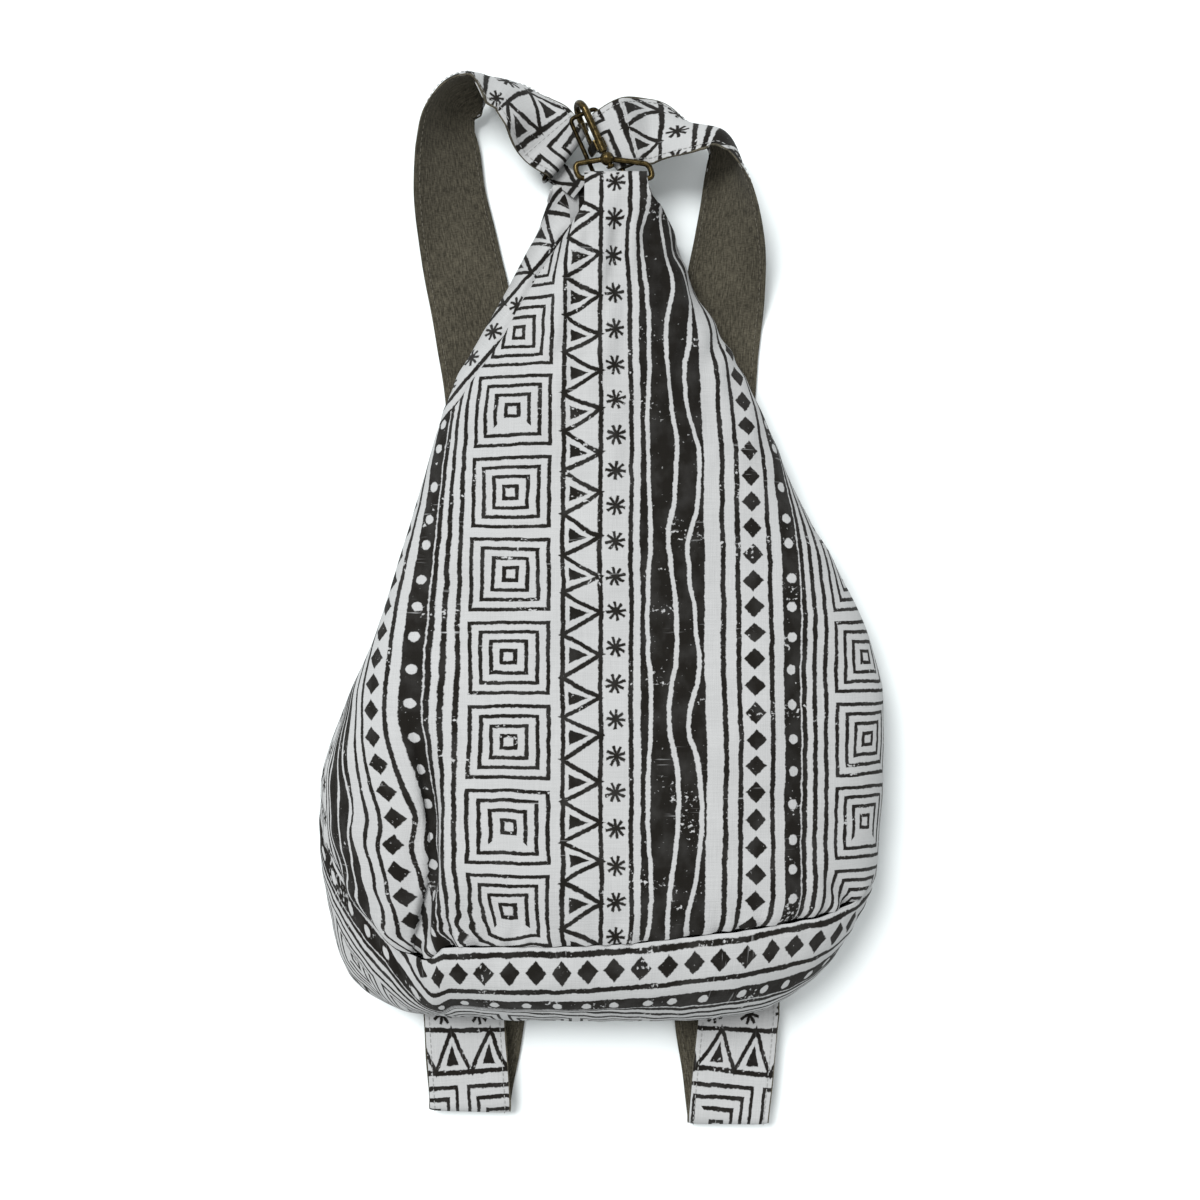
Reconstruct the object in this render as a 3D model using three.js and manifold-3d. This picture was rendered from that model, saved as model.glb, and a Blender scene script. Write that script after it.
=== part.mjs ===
// Cotton sling backpack lying on its back: a sewn teardrop bag, two straps that run under it,
// and a brass swivel hook that closes the gathered top onto the straps' rings.
// Millimetres, +Z up, +Y towards the bag's top, +X to the right as seen from above.
import * as THREE from 'three';
import { mergeVertices } from 'three/addons/utils/BufferGeometryUtils.js';
import Module from 'manifold-3d';

const wasm = await Module();
wasm.setup();

// Cloth walls and the gaps kept between sewn pieces
const CLOTH = 1.6;
const SEAM_GAP = 0.3;
const BASE_SEAM_GAP = 0.9;
const STRAP_PLY = 1.0;
const STRAP_CLEARANCE = 0.4;

// Where the base panel's seam crosses the front, and where the body narrows to its neck
const SEAM_Y = -183;
const NECK_Y = 150;
const BODY_HALF_WIDTH = 154.5;
// Body outline seen from above: place along the bag, then its left and right edges as parts of the
// half width
const OUTLINE = [
  [-196, -0.867, 0.887],
  [-168, -0.929, 0.958],
  [-124, -1, 0.99],
  [-97, -0.984, 1],
  [-58, -0.903, 0.994],
  [-25, -0.809, 0.951],
  [19, -0.718, 0.816],
  [63, -0.634, 0.673],
  [109, -0.544, 0.547],
  [165, -0.35, 0.345],
  [208, -0.205, 0.238],
  [231, -0.138, 0.158],
];
// Height of the side seam above the floor along the bag
const SIDE_SEAM = [
  [SEAM_Y, 15],
  [-150, 22],
  [-90, 26],
  [-20, 26],
  [60, 22],
  [130, 16],
  [190, 11],
  [222, 8.5],
];
// Height of the front's middle above the floor along the bag, as far as the hem
const CROWN = [
  [SEAM_Y, 84],
  [-150, 90],
  [-30, 76],
  [80, 62],
  [180, 48],
];
// How square each half of the section and the base's roll are; 2 is an ellipse
const LEFT_ROUND = 2.1;
const RIGHT_ROUND = 2.8;
const BASE_ROUND = 2.5;

// Base panel: how far its seam with the front rises at parts of the half width, over what length
// the front's rows level out above it, and the bag's lower edge
const SEAM_RISE = [
  [-1, 70],
  [-0.96, 38],
  [-0.89, 9],
  [-0.79, -9],
  [-0.7, -11],
  [-0.6, -3],
  [0, 0],
  [0.35, 5],
  [0.65, 10],
  [0.85, 15],
  [1, 26],
];
const SEAM_BLEND = 180;
const BASE_Y = -233;
const BASE_LEFT = -101;
const BASE_RIGHT = 109;
const BASE_CORNER = 15;
const BASE_EDGE_Z = 13.5;

// Back panel
const BACK_FLAT = 0.72;
const BACK_TOP_Y = 231;
const BACK_TOP_Z = 8.5;

// Folds of the front panel
// A crease down the left of the belly: place along the bag, place across it, depth
const CREASE = [
  [SEAM_Y, -104, 9],
  [-164, -99, 9],
  [-134, -97, 8],
  [-109, -91, 7],
  [-77, -96, 4],
  [-24, -108, 0],
];
const CREASE_WIDTH = 9;
// The fold that runs from the mouth down the left of the neck, in the same columns
const NECK_FOLD = [
  [88, -88, 0],
  [115, -71, 2],
  [137, -55, 4],
  [158, -44, 5],
  [179, -31, 5],
  [200, -17, 3],
];
const NECK_FOLD_WIDTH = 7;
const GATHER_START_Y = -20;
const GATHER_DEPTH = 1.3;
const GATHERS = 5;

// Mouth and the hem around the hook's eye
const MOUTH_Y = 194;
const MOUTH_TOP_Y = 212;
const HEM_LEFT = -9;
const HEM_WIDTH = 34;
const HEM_SLACK = 0.7;

// Straps
const STRAP_WIDTH = 45;
const STRAP_END_WIDTH = 34;
const STRAP_FOLD_SLACK = 0.5;
const STRAP_TAIL = 16;
const STRAP_TAPER_STOPS = 3;
// Where each strap is sewn to the base, and the foot of its loop
const LEFT_SEWN_X = -76;
const LEFT_LOOP_X = -73;
const LEFT_LOOP_Y = -289;
const RIGHT_SEWN_X = 76.5;
const RIGHT_LOOP_X = 71;
const RIGHT_LOOP_Y = -296;
// Way of each strap from its loop to its ring: x, y, turn of the band about its length in degrees,
// and lift of its lower edge
const LEFT_STRAP_WAY = [
  [-64, -225, 0, 0],
  [-60, -130, 0, 0],
  [-62, 0, 0, 0],
  [-64, 100, 0, 0],
  [-70, 145, 0, 0],
  [-78, 187, 14, 0],
  [-84, 221, 31, 0],
  [-86, 246, 42, 0],
  [-86.5, 261, 53, 1],
  [-82, 273.5, 63, 2],
  [-71, 279.5, 70, 2],
  [-61, 280.5, 108, 2],
  [-49, 276.5, 121, 4],
  [-40, 267, 146, 10],
];
const RIGHT_STRAP_WAY = [
  [63, -225, 0, 0],
  [60, -130, 0, 0],
  [62, 0, 0, 0],
  [64, 109, 0, 0],
  [67, 148, 0, 0],
  [70, 176, 16, 1],
  [71.5, 198, 36, 2],
  [72, 224, 54, 3],
  [68.5, 243, 68, 4],
  [60.5, 252.5, 82, 6],
  [52, 255, 98, 8],
  [44, 255.5, 115, 11],
  [33, 255.5, 138, 17],
];

// Rings
const RING_WIRE = 2.5;
const RING_SIDE_PLAY = 2;
const LEFT_RING_GAP = 7;
const LEFT_RING_X = -19.8;
const LEFT_RING_PAST_BACK = 14.3;
const LEFT_RING_Z = 17.5;
const LEFT_RING_TURN = 52;
const RIGHT_RING_GAP = 13;
const RING_CORNER = 3;

// Cloth tab between the left ring and the back panel's corner
const TAB_PLY = 1.2;
const TAB_WIDTH = 12;
const TAB_SLACK = 1.3;
const TAB_PLACE = 11;
const TAB_LENGTH = 19;
const TAB_PINCH = 9;

// Swivel hook
const HOOK_Z = 40;
const HOOK_X = 3.3;
const HOOK_PAST_EYE_BAR = 10.7;
const HOOK_TURN = 24;
const JAW_LEAN = 15;
const EYE_WIRE = 3.2;
const EYE_BAR_PAST_MOUTH = 13.5;
const EYE_SHOULDER_DROP = 3;
const EYE_SIDE_PLAY = 1.7;
const EYE_LEAN = 2.2;
const KNUCKLE_RADIUS = 3.9;
const STUD_RADIUS = 1.5;
const RUNNING_GAP = 0.3;
const RIVET_RADIUS = 2.6;
const RIVET_TIP_RADIUS = 1.8;
const RIVET_THICKNESS = 1.4;
const SHANK_RADIUS = 2.2;
const NOSE_TIP_RADIUS = 1.8;
const BOWL_RADIUS = 7;
const BOWL_AT = 28;
const NOSE_RETURN = 4.5;
const RING_SEAT = 1;
const RIGHT_BAR_SIDE = 6.2;
const RIGHT_BAR_DROP = 6.5;
const CHEEK_THICKNESS = 0.95;
const CHEEK_AT = 9;
const CHEEK_WIDTH = 6;
const GATE_WIDTH = 1.8;
const GATE_HEIGHT = 2.4;
const GATE_LAP = 2;
const GATE_BEVEL = 0.5;
const GATE_PIVOT_RISE = 2;
const PIN_RADIUS = 0.8;
const SPRING_WIRE = 0.6;
const SPRING_TURNS = 2;
const SPRING_TURN_GAP = 0.1;
const SPRING_LEG = 6;

// How finely curves are cut into flats
const FRONT_COLUMNS = 24;
const BODY_STEPS = 16;
const NECK_STEPS = 6;
const BASE_STEPS = 7;
const BACK_RIM_STEPS = 4;
const STRAP_STEPS = 4;
const LOOP_STEPS = 10;
const FOLD_STEPS = 8;
const CORNER_STEPS = 4;
const WIRE_SIDES = 8;
const ROUND_SIDES = 12;

// Finishes
const PRINT = { color: 0xb9b9bd, roughness: 0.92, metalness: 0 };
const CHAMBRAY = { color: 0x57534d, roughness: 0.95, metalness: 0 };
const BRASS = { color: 0x5a4a2c, roughness: 0.38, metalness: 1 };

// Values that follow from the sizes above
const EYE_BAR_Y = MOUTH_TOP_Y + EYE_BAR_PAST_MOUTH;
const HOOK_Y = EYE_BAR_Y + HOOK_PAST_EYE_BAR;
const LEFT_RING_Y = BACK_TOP_Y + LEFT_RING_PAST_BACK;
const STRAP_MID = STRAP_PLY + SEAM_GAP / 2;
const STRAP_THICKNESS = 2 * STRAP_PLY + SEAM_GAP;
const BACK_Z = STRAP_THICKNESS + STRAP_CLEARANCE;
const HEM_RIGHT = HEM_LEFT + HEM_WIDTH;
const HEM_RADIUS = EYE_WIRE / 2 + HEM_SLACK + CLOTH;
const HEM_TOP = HOOK_Z + HEM_RADIUS;
const RING_LENGTH = STRAP_END_WIDTH + RING_SIDE_PLAY + RING_WIRE;
const FOLD_RADIUS = RING_WIRE / 2 + STRAP_FOLD_SLACK + STRAP_MID;

const { clamp, lerp, smoothstep, degToRad } = THREE.MathUtils;

// Smooth curve through stations that never overshoots them; column 1 onwards holds the values
function profile(stations, column) {
  const count = stations.length;
  const at = stations.map((row) => row[0]);
  const value = stations.map((row) => row[column]);
  const rise = [];
  for (let i = 0; i < count - 1; i += 1) {
    rise.push((value[i + 1] - value[i]) / (at[i + 1] - at[i]));
  }
  const slope = value.map((_, i) => {
    if (i === 0 || i === count - 1) return i === 0 ? rise[0] : rise[count - 2];
    const flat = rise[i - 1] * rise[i] <= 0;
    return flat ? 0 : (2 * rise[i - 1] * rise[i]) / (rise[i - 1] + rise[i]);
  });
  return (where) => {
    if (where <= at[0]) return value[0];
    if (where >= at[count - 1]) return value[count - 1];
    const i = at.findIndex((limit) => where < limit) - 1;
    const span = at[i + 1] - at[i];
    const t = (where - at[i]) / span;
    const keep = (1 + 2 * t) * (1 - t) ** 2 * value[i] + t * t * (3 - 2 * t) * value[i + 1];
    return keep + span * t * (1 - t) * ((1 - t) * slope[i] - t * slope[i + 1]);
  };
}

const leftShare = profile(OUTLINE, 1);
const rightShare = profile(OUTLINE, 2);
const outlineLeft = (y) => BODY_HALF_WIDTH * leftShare(y);
const outlineRight = (y) => BODY_HALF_WIDTH * rightShare(y);
const seamHeight = profile(SIDE_SEAM, 1);
const crown = profile([...CROWN, [EYE_BAR_Y, HEM_TOP]], 1);
const seamRise = profile(SEAM_RISE, 1);
const creaseX = profile(CREASE, 1);
const creaseDepth = profile(CREASE, 2);
const neckFoldX = profile(NECK_FOLD, 1);
const neckFoldDepth = profile([...NECK_FOLD, [MOUTH_TOP_Y, HEM_LEFT, 0]], 2);

// Geometry from rows of points that close into one solid
function solidFromFaces(vertices, faces) {
  let volume = 0;
  for (const [a, b, c] of faces) {
    volume += vertices[a].dot(new THREE.Vector3().crossVectors(vertices[b], vertices[c]));
  }
  const index = faces.flatMap(([a, b, c]) => (volume > 0 ? [a, b, c] : [a, c, b]));
  const geometry = new THREE.BufferGeometry();
  const positions = vertices.flatMap((p) => [p.x, p.y, p.z]);
  geometry.setAttribute('position', new THREE.Float32BufferAttribute(positions, 3));
  geometry.setIndex(index);
  return geometry;
}

function quad(faces, a, b, c, d) {
  faces.push([a, b, c], [a, c, d]);
}

// A cloth panel: a grid of outer points given a wall on its inner side. At a seam the wall is cut
// level, so that two panels meet face to face.
function panelSolid(grid, wall, isSeam) {
  const rows = grid.length;
  const columns = grid[0].length;
  const last = (j, i) => grid[clamp(j, 0, rows - 1)][clamp(i, 0, columns - 1)];
  const outer = [];
  const inner = [];
  for (let j = 0; j < rows; j += 1) {
    for (let i = 0; i < columns; i += 1) {
      const along = last(j + 1, i).clone().sub(last(j - 1, i));
      const across = last(j, i + 1).clone().sub(last(j, i - 1));
      const normal = across.cross(along).normalize();
      if (isSeam(j, i)) normal.setZ(0).normalize();
      outer.push(grid[j][i]);
      inner.push(grid[j][i].clone().addScaledVector(normal, -wall));
    }
  }
  const back = rows * columns;
  const id = (j, i) => j * columns + i;
  const faces = [];
  for (let j = 0; j < rows - 1; j += 1) {
    for (let i = 0; i < columns - 1; i += 1) {
      quad(faces, id(j, i), id(j, i + 1), id(j + 1, i + 1), id(j + 1, i));
      quad(faces, back + id(j, i), back + id(j + 1, i), back + id(j + 1, i + 1), back + id(j, i + 1));
    }
    const edge = columns - 1;
    quad(faces, id(j, 0), id(j + 1, 0), back + id(j + 1, 0), back + id(j, 0));
    quad(faces, id(j, edge), back + id(j, edge), back + id(j + 1, edge), id(j + 1, edge));
  }
  for (let i = 0; i < columns - 1; i += 1) {
    const top = rows - 1;
    quad(faces, id(0, i), back + id(0, i), back + id(0, i + 1), id(0, i + 1));
    quad(faces, id(top, i), id(top, i + 1), back + id(top, i + 1), back + id(top, i));
  }
  return solidFromFaces([...outer, ...inner], faces);
}

// A prism through rings of points, closed by two end faces or onto itself
function skinRings(rings, closed) {
  const sides = rings[0].length;
  const faces = [];
  const spans = closed ? rings.length : rings.length - 1;
  for (let j = 0; j < spans; j += 1) {
    const next = (j + 1) % rings.length;
    for (let i = 0; i < sides; i += 1) {
      const step = (i + 1) % sides;
      quad(faces, j * sides + i, j * sides + step, next * sides + step, next * sides + i);
    }
  }
  if (!closed) {
    const top = (rings.length - 1) * sides;
    for (let i = 1; i < sides - 1; i += 1) {
      faces.push([0, i + 1, i], [top, top + i, top + i + 1]);
    }
  }
  return solidFromFaces(rings.flat(), faces);
}

// A flat cloth band: each frame has a centre, its width direction and its printed side.
// Both faces are split along the same diagonal, so that two plies stay apart where the band twists.
function bandSolid(frames, low, high) {
  const corners = frames.flatMap(({ centre, side, face, width }) => {
    const corner = (half, height) =>
      centre.clone().addScaledVector(side, (half * width) / 2).addScaledVector(face, height);
    return [corner(-1, low), corner(1, low), corner(1, high), corner(-1, high)];
  });
  const faces = [];
  for (let j = 0; j < frames.length - 1; j += 1) {
    const [a, b, c, d] = [0, 1, 2, 3].map((k) => 4 * j + k);
    const [e, f, g, h] = [4, 5, 6, 7].map((k) => 4 * j + k);
    quad(faces, a, b, f, e);
    quad(faces, b, c, g, f);
    quad(faces, d, h, g, c);
    quad(faces, d, a, e, h);
  }
  const end = 4 * (frames.length - 1);
  quad(faces, 0, 3, 2, 1);
  quad(faces, end, end + 1, end + 2, end + 3);
  return solidFromFaces(corners, faces);
}

// A round wire along a flat path whose plane has the given normal
function wireSolid(path, normal, radiusAt, sides, closed) {
  const count = path.length;
  const rings = path.map((point, j) => {
    const before = closed ? path[(j + count - 1) % count] : path[Math.max(j - 1, 0)];
    const after = closed ? path[(j + 1) % count] : path[Math.min(j + 1, count - 1)];
    const out = after.clone().sub(before).normalize().cross(normal);
    const radius = radiusAt(j / (count - 1));
    return Array.from({ length: sides }, (_, i) => {
      const turn = (2 * Math.PI * i) / sides;
      const rim = point.clone().addScaledVector(out, radius * Math.cos(turn));
      return rim.addScaledVector(normal, radius * Math.sin(turn));
    });
  });
  return skinRings(rings, closed);
}

// Points round a closed outline whose corners are rounded by short curves
function roundedLoop(corners, radius, steps) {
  const count = corners.length;
  return corners.flatMap((corner, k) => {
    const from = corners[(k + count - 1) % count].clone().sub(corner).setLength(radius).add(corner);
    const to = corners[(k + 1) % count].clone().sub(corner).setLength(radius).add(corner);
    return new THREE.QuadraticBezierCurve3(from, corner, to).getPoints(steps);
  });
}

// Booleans on closed solids
function toManifold(geometry) {
  const bare = geometry.clone();
  bare.deleteAttribute('normal');
  bare.deleteAttribute('uv');
  const merged = mergeVertices(bare, 1e-4);
  return new wasm.Manifold(new wasm.Mesh({
    numProp: 3,
    vertProperties: new Float32Array(merged.getAttribute('position').array),
    triVerts: new Uint32Array(merged.getIndex().array),
  }));
}

function fromManifold(solid) {
  const mesh = solid.getMesh();
  const geometry = new THREE.BufferGeometry();
  geometry.setAttribute('position', new THREE.BufferAttribute(mesh.vertProperties, 3));
  geometry.setIndex(new THREE.BufferAttribute(mesh.triVerts, 1));
  return geometry;
}

const backpack = new THREE.Group();

function addPiece(parent, name, geometry, finish) {
  const mesh = new THREE.Mesh(geometry, new THREE.MeshStandardMaterial(finish));
  mesh.name = name;
  parent.add(mesh);
  return mesh;
}

// Body surface: theta runs over the front from the left seam (0) to the right seam (PI)
function section(theta) {
  const cosine = Math.cos(theta);
  const power = 2 / (cosine > 0 ? LEFT_ROUND : RIGHT_ROUND);
  return {
    across: -Math.sign(cosine) * Math.abs(cosine) ** power,
    height: Math.max(Math.sin(theta), 0) ** power,
  };
}

function between(left, right, across) {
  return (left + right) / 2 + (across * (right - left)) / 2;
}

function rowY(y, across) {
  return y + seamRise(across) * (1 - smoothstep(y, SEAM_Y, SEAM_Y + SEAM_BLEND));
}

function foldHeight(x, y, across) {
  const crease = creaseDepth(y) * Math.exp(-(((x - creaseX(y)) / CREASE_WIDTH) ** 2));
  const neckFold = neckFoldDepth(y) * Math.exp(-(((x - neckFoldX(y)) / NECK_FOLD_WIDTH) ** 2));
  const towardsNeck = smoothstep(y, GATHER_START_Y, MOUTH_Y);
  const gatherShare = towardsNeck * (1 - smoothstep(y, MOUTH_Y, MOUTH_TOP_Y));
  return GATHER_DEPTH * gatherShare * Math.cos(across * GATHERS * Math.PI) - crease - neckFold;
}

function frontPoint(y, theta) {
  const { across, height } = section(theta);
  const here = rowY(y, across);
  const open = smoothstep(here, MOUTH_Y, MOUTH_TOP_Y);
  const left = lerp(outlineLeft(here), HEM_LEFT, open);
  const right = lerp(outlineRight(here), HEM_RIGHT, open);
  const x = between(left, right, across);
  const edge = lerp(seamHeight(here) + SEAM_GAP / 2, crown(here), open);
  const z = edge + (crown(here) - edge + foldHeight(x, here, across)) * height;
  return new THREE.Vector3(x, here, z);
}

// The roll from the front seam down to the bag's lower edge; phi runs from 0 to PI / 2
function basePlan(start, across, phi) {
  const power = 2 / BASE_ROUND;
  const keep = Math.max(Math.cos(phi), 0) ** power;
  const gone = Math.sin(phi) ** power;
  const endX = between(BASE_LEFT, BASE_RIGHT, across);
  const endY = BASE_Y + BASE_CORNER * across ** 6;
  return { x: lerp(endX, start.x, keep), y: lerp(start.y, endY, gone), keep };
}

function baseSeamHeight(start, phi) {
  return lerp(seamHeight(start.y), BASE_EDGE_Z, Math.sin(phi));
}

// Evenly spaced values from one end to the other, both included
function spread(from, to, count) {
  return Array.from({ length: count + 1 }, (_, i) => lerp(from, to, i / count));
}

const columnAngles = spread(0, Math.PI, FRONT_COLUMNS);
const neckRows = spread(NECK_Y, MOUTH_TOP_Y, NECK_STEPS).slice(1);
const bodyRows = [...spread(SEAM_Y, NECK_Y, BODY_STEPS), ...neckRows];
const baseAngles = spread(0, Math.PI / 2, BASE_STEPS);

// Front panel: the belly, then the hem that goes round the eye's bar and back underneath
function frontPanel() {
  const grid = bodyRows.map((y) => columnAngles.map((theta) => frontPoint(y, theta)));
  const hemX = columnAngles.map((theta) => between(HEM_LEFT, HEM_RIGHT, section(theta).across));
  const addHemRow = (y, z) => grid.push(hemX.map((x) => new THREE.Vector3(x, y, z)));
  const beforeBar = (MOUTH_TOP_Y + EYE_BAR_Y) / 2;
  addHemRow(beforeBar, crown(beforeBar));
  for (const turn of spread(Math.PI / 2, -Math.PI / 2, FOLD_STEPS)) {
    addHemRow(EYE_BAR_Y + HEM_RADIUS * Math.cos(turn), HOOK_Z + HEM_RADIUS * Math.sin(turn));
  }
  const underside = crown(MOUTH_TOP_Y) - 2 * CLOTH - SEAM_GAP;
  addHemRow(beforeBar, (HOOK_Z - HEM_RADIUS + underside) / 2);
  addHemRow(MOUTH_TOP_Y + CLOTH, underside);
  const isSeam = (j, i) => (i === 0 || i === FRONT_COLUMNS) && bodyRows[j] <= MOUTH_Y;
  addPiece(backpack, 'front_panel', panelSolid(grid, CLOTH, isSeam), PRINT);
}

function bottomPanel() {
  const grid = baseAngles.map((phi) => columnAngles.map((theta) => {
    const start = frontPoint(SEAM_Y, theta);
    const { x, y, keep } = basePlan(start, section(theta).across, phi);
    const edge = baseSeamHeight(start, phi) + SEAM_GAP / 2;
    const z = edge + (start.z - seamHeight(start.y) - SEAM_GAP / 2) * keep;
    return new THREE.Vector3(x, y - BASE_SEAM_GAP, z);
  })).reverse();
  const isSeam = (j, i) => j === 0 || i === 0 || i === FRONT_COLUMNS;
  addPiece(backpack, 'bottom_panel', panelSolid(grid, CLOTH, isSeam), PRINT);
}

// Back panel: flat where it lies on the straps, its rim curving up to the seams
function backPanel() {
  const dip = (across) => {
    const past = Math.max(Math.abs(across) - BACK_FLAT, 0) / (1 - BACK_FLAT);
    return Math.sqrt(1 - past * past);
  };
  const floorZ = (y) => lerp(BACK_Z, BACK_TOP_Z, smoothstep(y, NECK_Y, BACK_TOP_Y));
  const rim = spread(0, Math.PI / 2, BACK_RIM_STEPS).slice(1);
  const half = [0, BACK_FLAT / 2, BACK_FLAT, ...rim.map((turn) => lerp(BACK_FLAT, 1, Math.sin(turn)))];
  const columns = [...half.slice(1).reverse(), ...half.map((value) => -value)];
  const rowPoint = (y, across) => {
    const here = rowY(y, across);
    const edge = Math.max(seamHeight(here), floorZ(here)) - SEAM_GAP / 2;
    const z = edge - (edge - floorZ(here)) * dip(across);
    return new THREE.Vector3(between(outlineLeft(here), outlineRight(here), across), here, z);
  };
  const basePoint = (phi, across) => {
    const start = rowPoint(SEAM_Y, across);
    const { x, y, keep } = basePlan(start, across, phi);
    const edge = baseSeamHeight(start, phi) - SEAM_GAP / 2;
    return new THREE.Vector3(x, y - BASE_SEAM_GAP, edge - (edge - BACK_Z) * dip(across) * keep);
  };
  const baseRows = [...baseAngles].reverse().slice(0, -1);
  const topRows = [...bodyRows, (MOUTH_TOP_Y + BACK_TOP_Y) / 2, BACK_TOP_Y];
  const grid = [
    ...baseRows.map((phi) => columns.map((across) => basePoint(phi, across))),
    ...topRows.map((y) => columns.map((across) => rowPoint(y, across))),
  ];
  const isSeam = (j, i) => {
    const onSide = i === 0 || i === columns.length - 1;
    return j === 0 || (onSide && grid[j][i].y <= MOUTH_Y);
  };
  addPiece(backpack, 'back_panel', panelSolid(grid, CLOTH, isSeam), PRINT);
}

// Straps: from the lower edge, round a loop, along the floor under the bag, up and over to a ring
const UP = new THREE.Vector3(0, 0, 1);

function strapFrames(sewnX, loopX, loopY, stops, ring, roll) {
  const frames = [];
  const addFrame = (centre, side, face, width) => frames.push({ centre, side, face, width });
  const loopRadius = (BASE_EDGE_Z - STRAP_MID) / 2;
  const loopZ = STRAP_MID + loopRadius;
  const bendY = loopY + loopRadius + STRAP_THICKNESS / 2;
  const sewnY = BASE_Y - BASE_SEAM_GAP - SEAM_GAP;
  const sewnSide = new THREE.Vector3(1, 0, 0);
  const downSide = new THREE.Vector3(sewnY - bendY, loopX - sewnX, 0).normalize();
  const underSide = new THREE.Vector3(stops[0][1] - bendY, loopX - stops[0][0], 0).normalize();
  for (const share of spread(0, 1, 2)) {
    const centre = new THREE.Vector3(lerp(sewnX, loopX, share), lerp(sewnY, bendY, share), BASE_EDGE_Z);
    addFrame(centre, share > 0 ? downSide : sewnSide, UP, STRAP_WIDTH);
  }
  for (const share of spread(0, 1, LOOP_STEPS).slice(1)) {
    const turn = Math.PI * (share + 0.5);
    const side = downSide.clone().lerp(underSide, share).normalize();
    const ahead = UP.clone().cross(side).multiplyScalar(Math.cos(turn));
    const out = ahead.addScaledVector(UP, Math.sin(turn));
    const centre = new THREE.Vector3(loopX, bendY, loopZ).addScaledVector(out, loopRadius);
    addFrame(centre, side, out, STRAP_WIDTH);
  }
  const endLift = ring.bar.z + FOLD_RADIUS - STRAP_MID;
  const approach = ring.bar.clone().addScaledVector(ring.along, -STRAP_TAIL);
  const way = [
    [loopX, bendY, 0, 0],
    ...stops,
    [approach.x, approach.y, 180, endLift],
    [ring.bar.x, ring.bar.y, 180, endLift],
  ];
  const indexed = way.map((stop, k) => [k, ...stop]);
  const places = way.map(([x, y]) => new THREE.Vector3(x, y, 0));
  const curve = new THREE.CatmullRomCurve3(places, false, 'centripetal');
  const tilt = profile(indexed, 3);
  const lift = profile(indexed, 4);
  const spans = way.length - 1;
  const widths = [[0, STRAP_WIDTH], [spans - STRAP_TAPER_STOPS, STRAP_WIDTH], [spans, STRAP_END_WIDTH]];
  const narrowing = profile(widths, 1);
  const samples = spans * STRAP_STEPS;
  for (let k = 1; k < samples; k += 1) {
    const place = k / STRAP_STEPS;
    const centre = curve.getPoint(place / spans);
    const heading = curve.getTangent(place / spans);
    const flat = new THREE.Vector3(heading.y, -heading.x, 0);
    const angle = degToRad(tilt(place));
    const width = narrowing(place);
    centre.z = STRAP_MID + lift(place) + (width / 2) * Math.sin(angle);
    const side = flat.multiplyScalar(Math.cos(angle)).addScaledVector(UP, roll * Math.sin(angle));
    side.normalize();
    addFrame(centre, side, heading.clone().cross(side).normalize(), width);
  }
  const foldSide = UP.clone().cross(ring.along);
  for (const turn of spread(Math.PI / 2, -Math.PI / 2, FOLD_STEPS)) {
    const out = ring.along.clone().multiplyScalar(Math.cos(turn)).addScaledVector(UP, Math.sin(turn));
    addFrame(ring.bar.clone().addScaledVector(out, FOLD_RADIUS), foldSide, out, STRAP_END_WIDTH);
  }
  const tailEnd = approach.clone().addScaledVector(UP, -FOLD_RADIUS);
  addFrame(tailEnd, foldSide, UP.clone().negate(), STRAP_END_WIDTH);
  return frames;
}

function addStrap(name, frames) {
  const near = SEAM_GAP / 2;
  addPiece(backpack, `${name}_face`, bandSolid(frames, near, near + STRAP_PLY), PRINT);
  addPiece(backpack, `${name}_backing`, bandSolid(frames, -near - STRAP_PLY, -near), CHAMBRAY);
}

// A rectangular wire ring: its bar lies on the local X axis, its far side a gap away along local Y
function ringGeometry(gap) {
  const half = RING_LENGTH / 2;
  const far = gap + RING_WIRE;
  const corners = [[-half, 0], [half, 0], [half, far], [-half, far]];
  const turns = corners.map(([x, y]) => new THREE.Vector3(x, y, 0));
  const path = roundedLoop(turns, RING_CORNER, CORNER_STEPS);
  return wireSolid(path, UP, () => RING_WIRE / 2, WIRE_SIDES, true);
}

// Left side: the ring hangs edge-on from the strap's end, its lower bar in the back corner's tab
const leftTurn = degToRad(LEFT_RING_TURN);
const leftAlong = new THREE.Vector3(Math.sin(leftTurn), -Math.cos(leftTurn), 0);
const leftRing = {
  bar: new THREE.Vector3(LEFT_RING_X, LEFT_RING_Y, LEFT_RING_Z),
  along: leftAlong,
};

function addLeftRing() {
  const ring = addPiece(backpack, 'left_ring', ringGeometry(LEFT_RING_GAP), BRASS);
  const barDirection = UP.clone().cross(leftAlong);
  const down = UP.clone().negate();
  ring.matrixAutoUpdate = false;
  ring.matrix.makeBasis(barDirection, down, barDirection.clone().cross(down)).setPosition(leftRing.bar);
}

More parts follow.
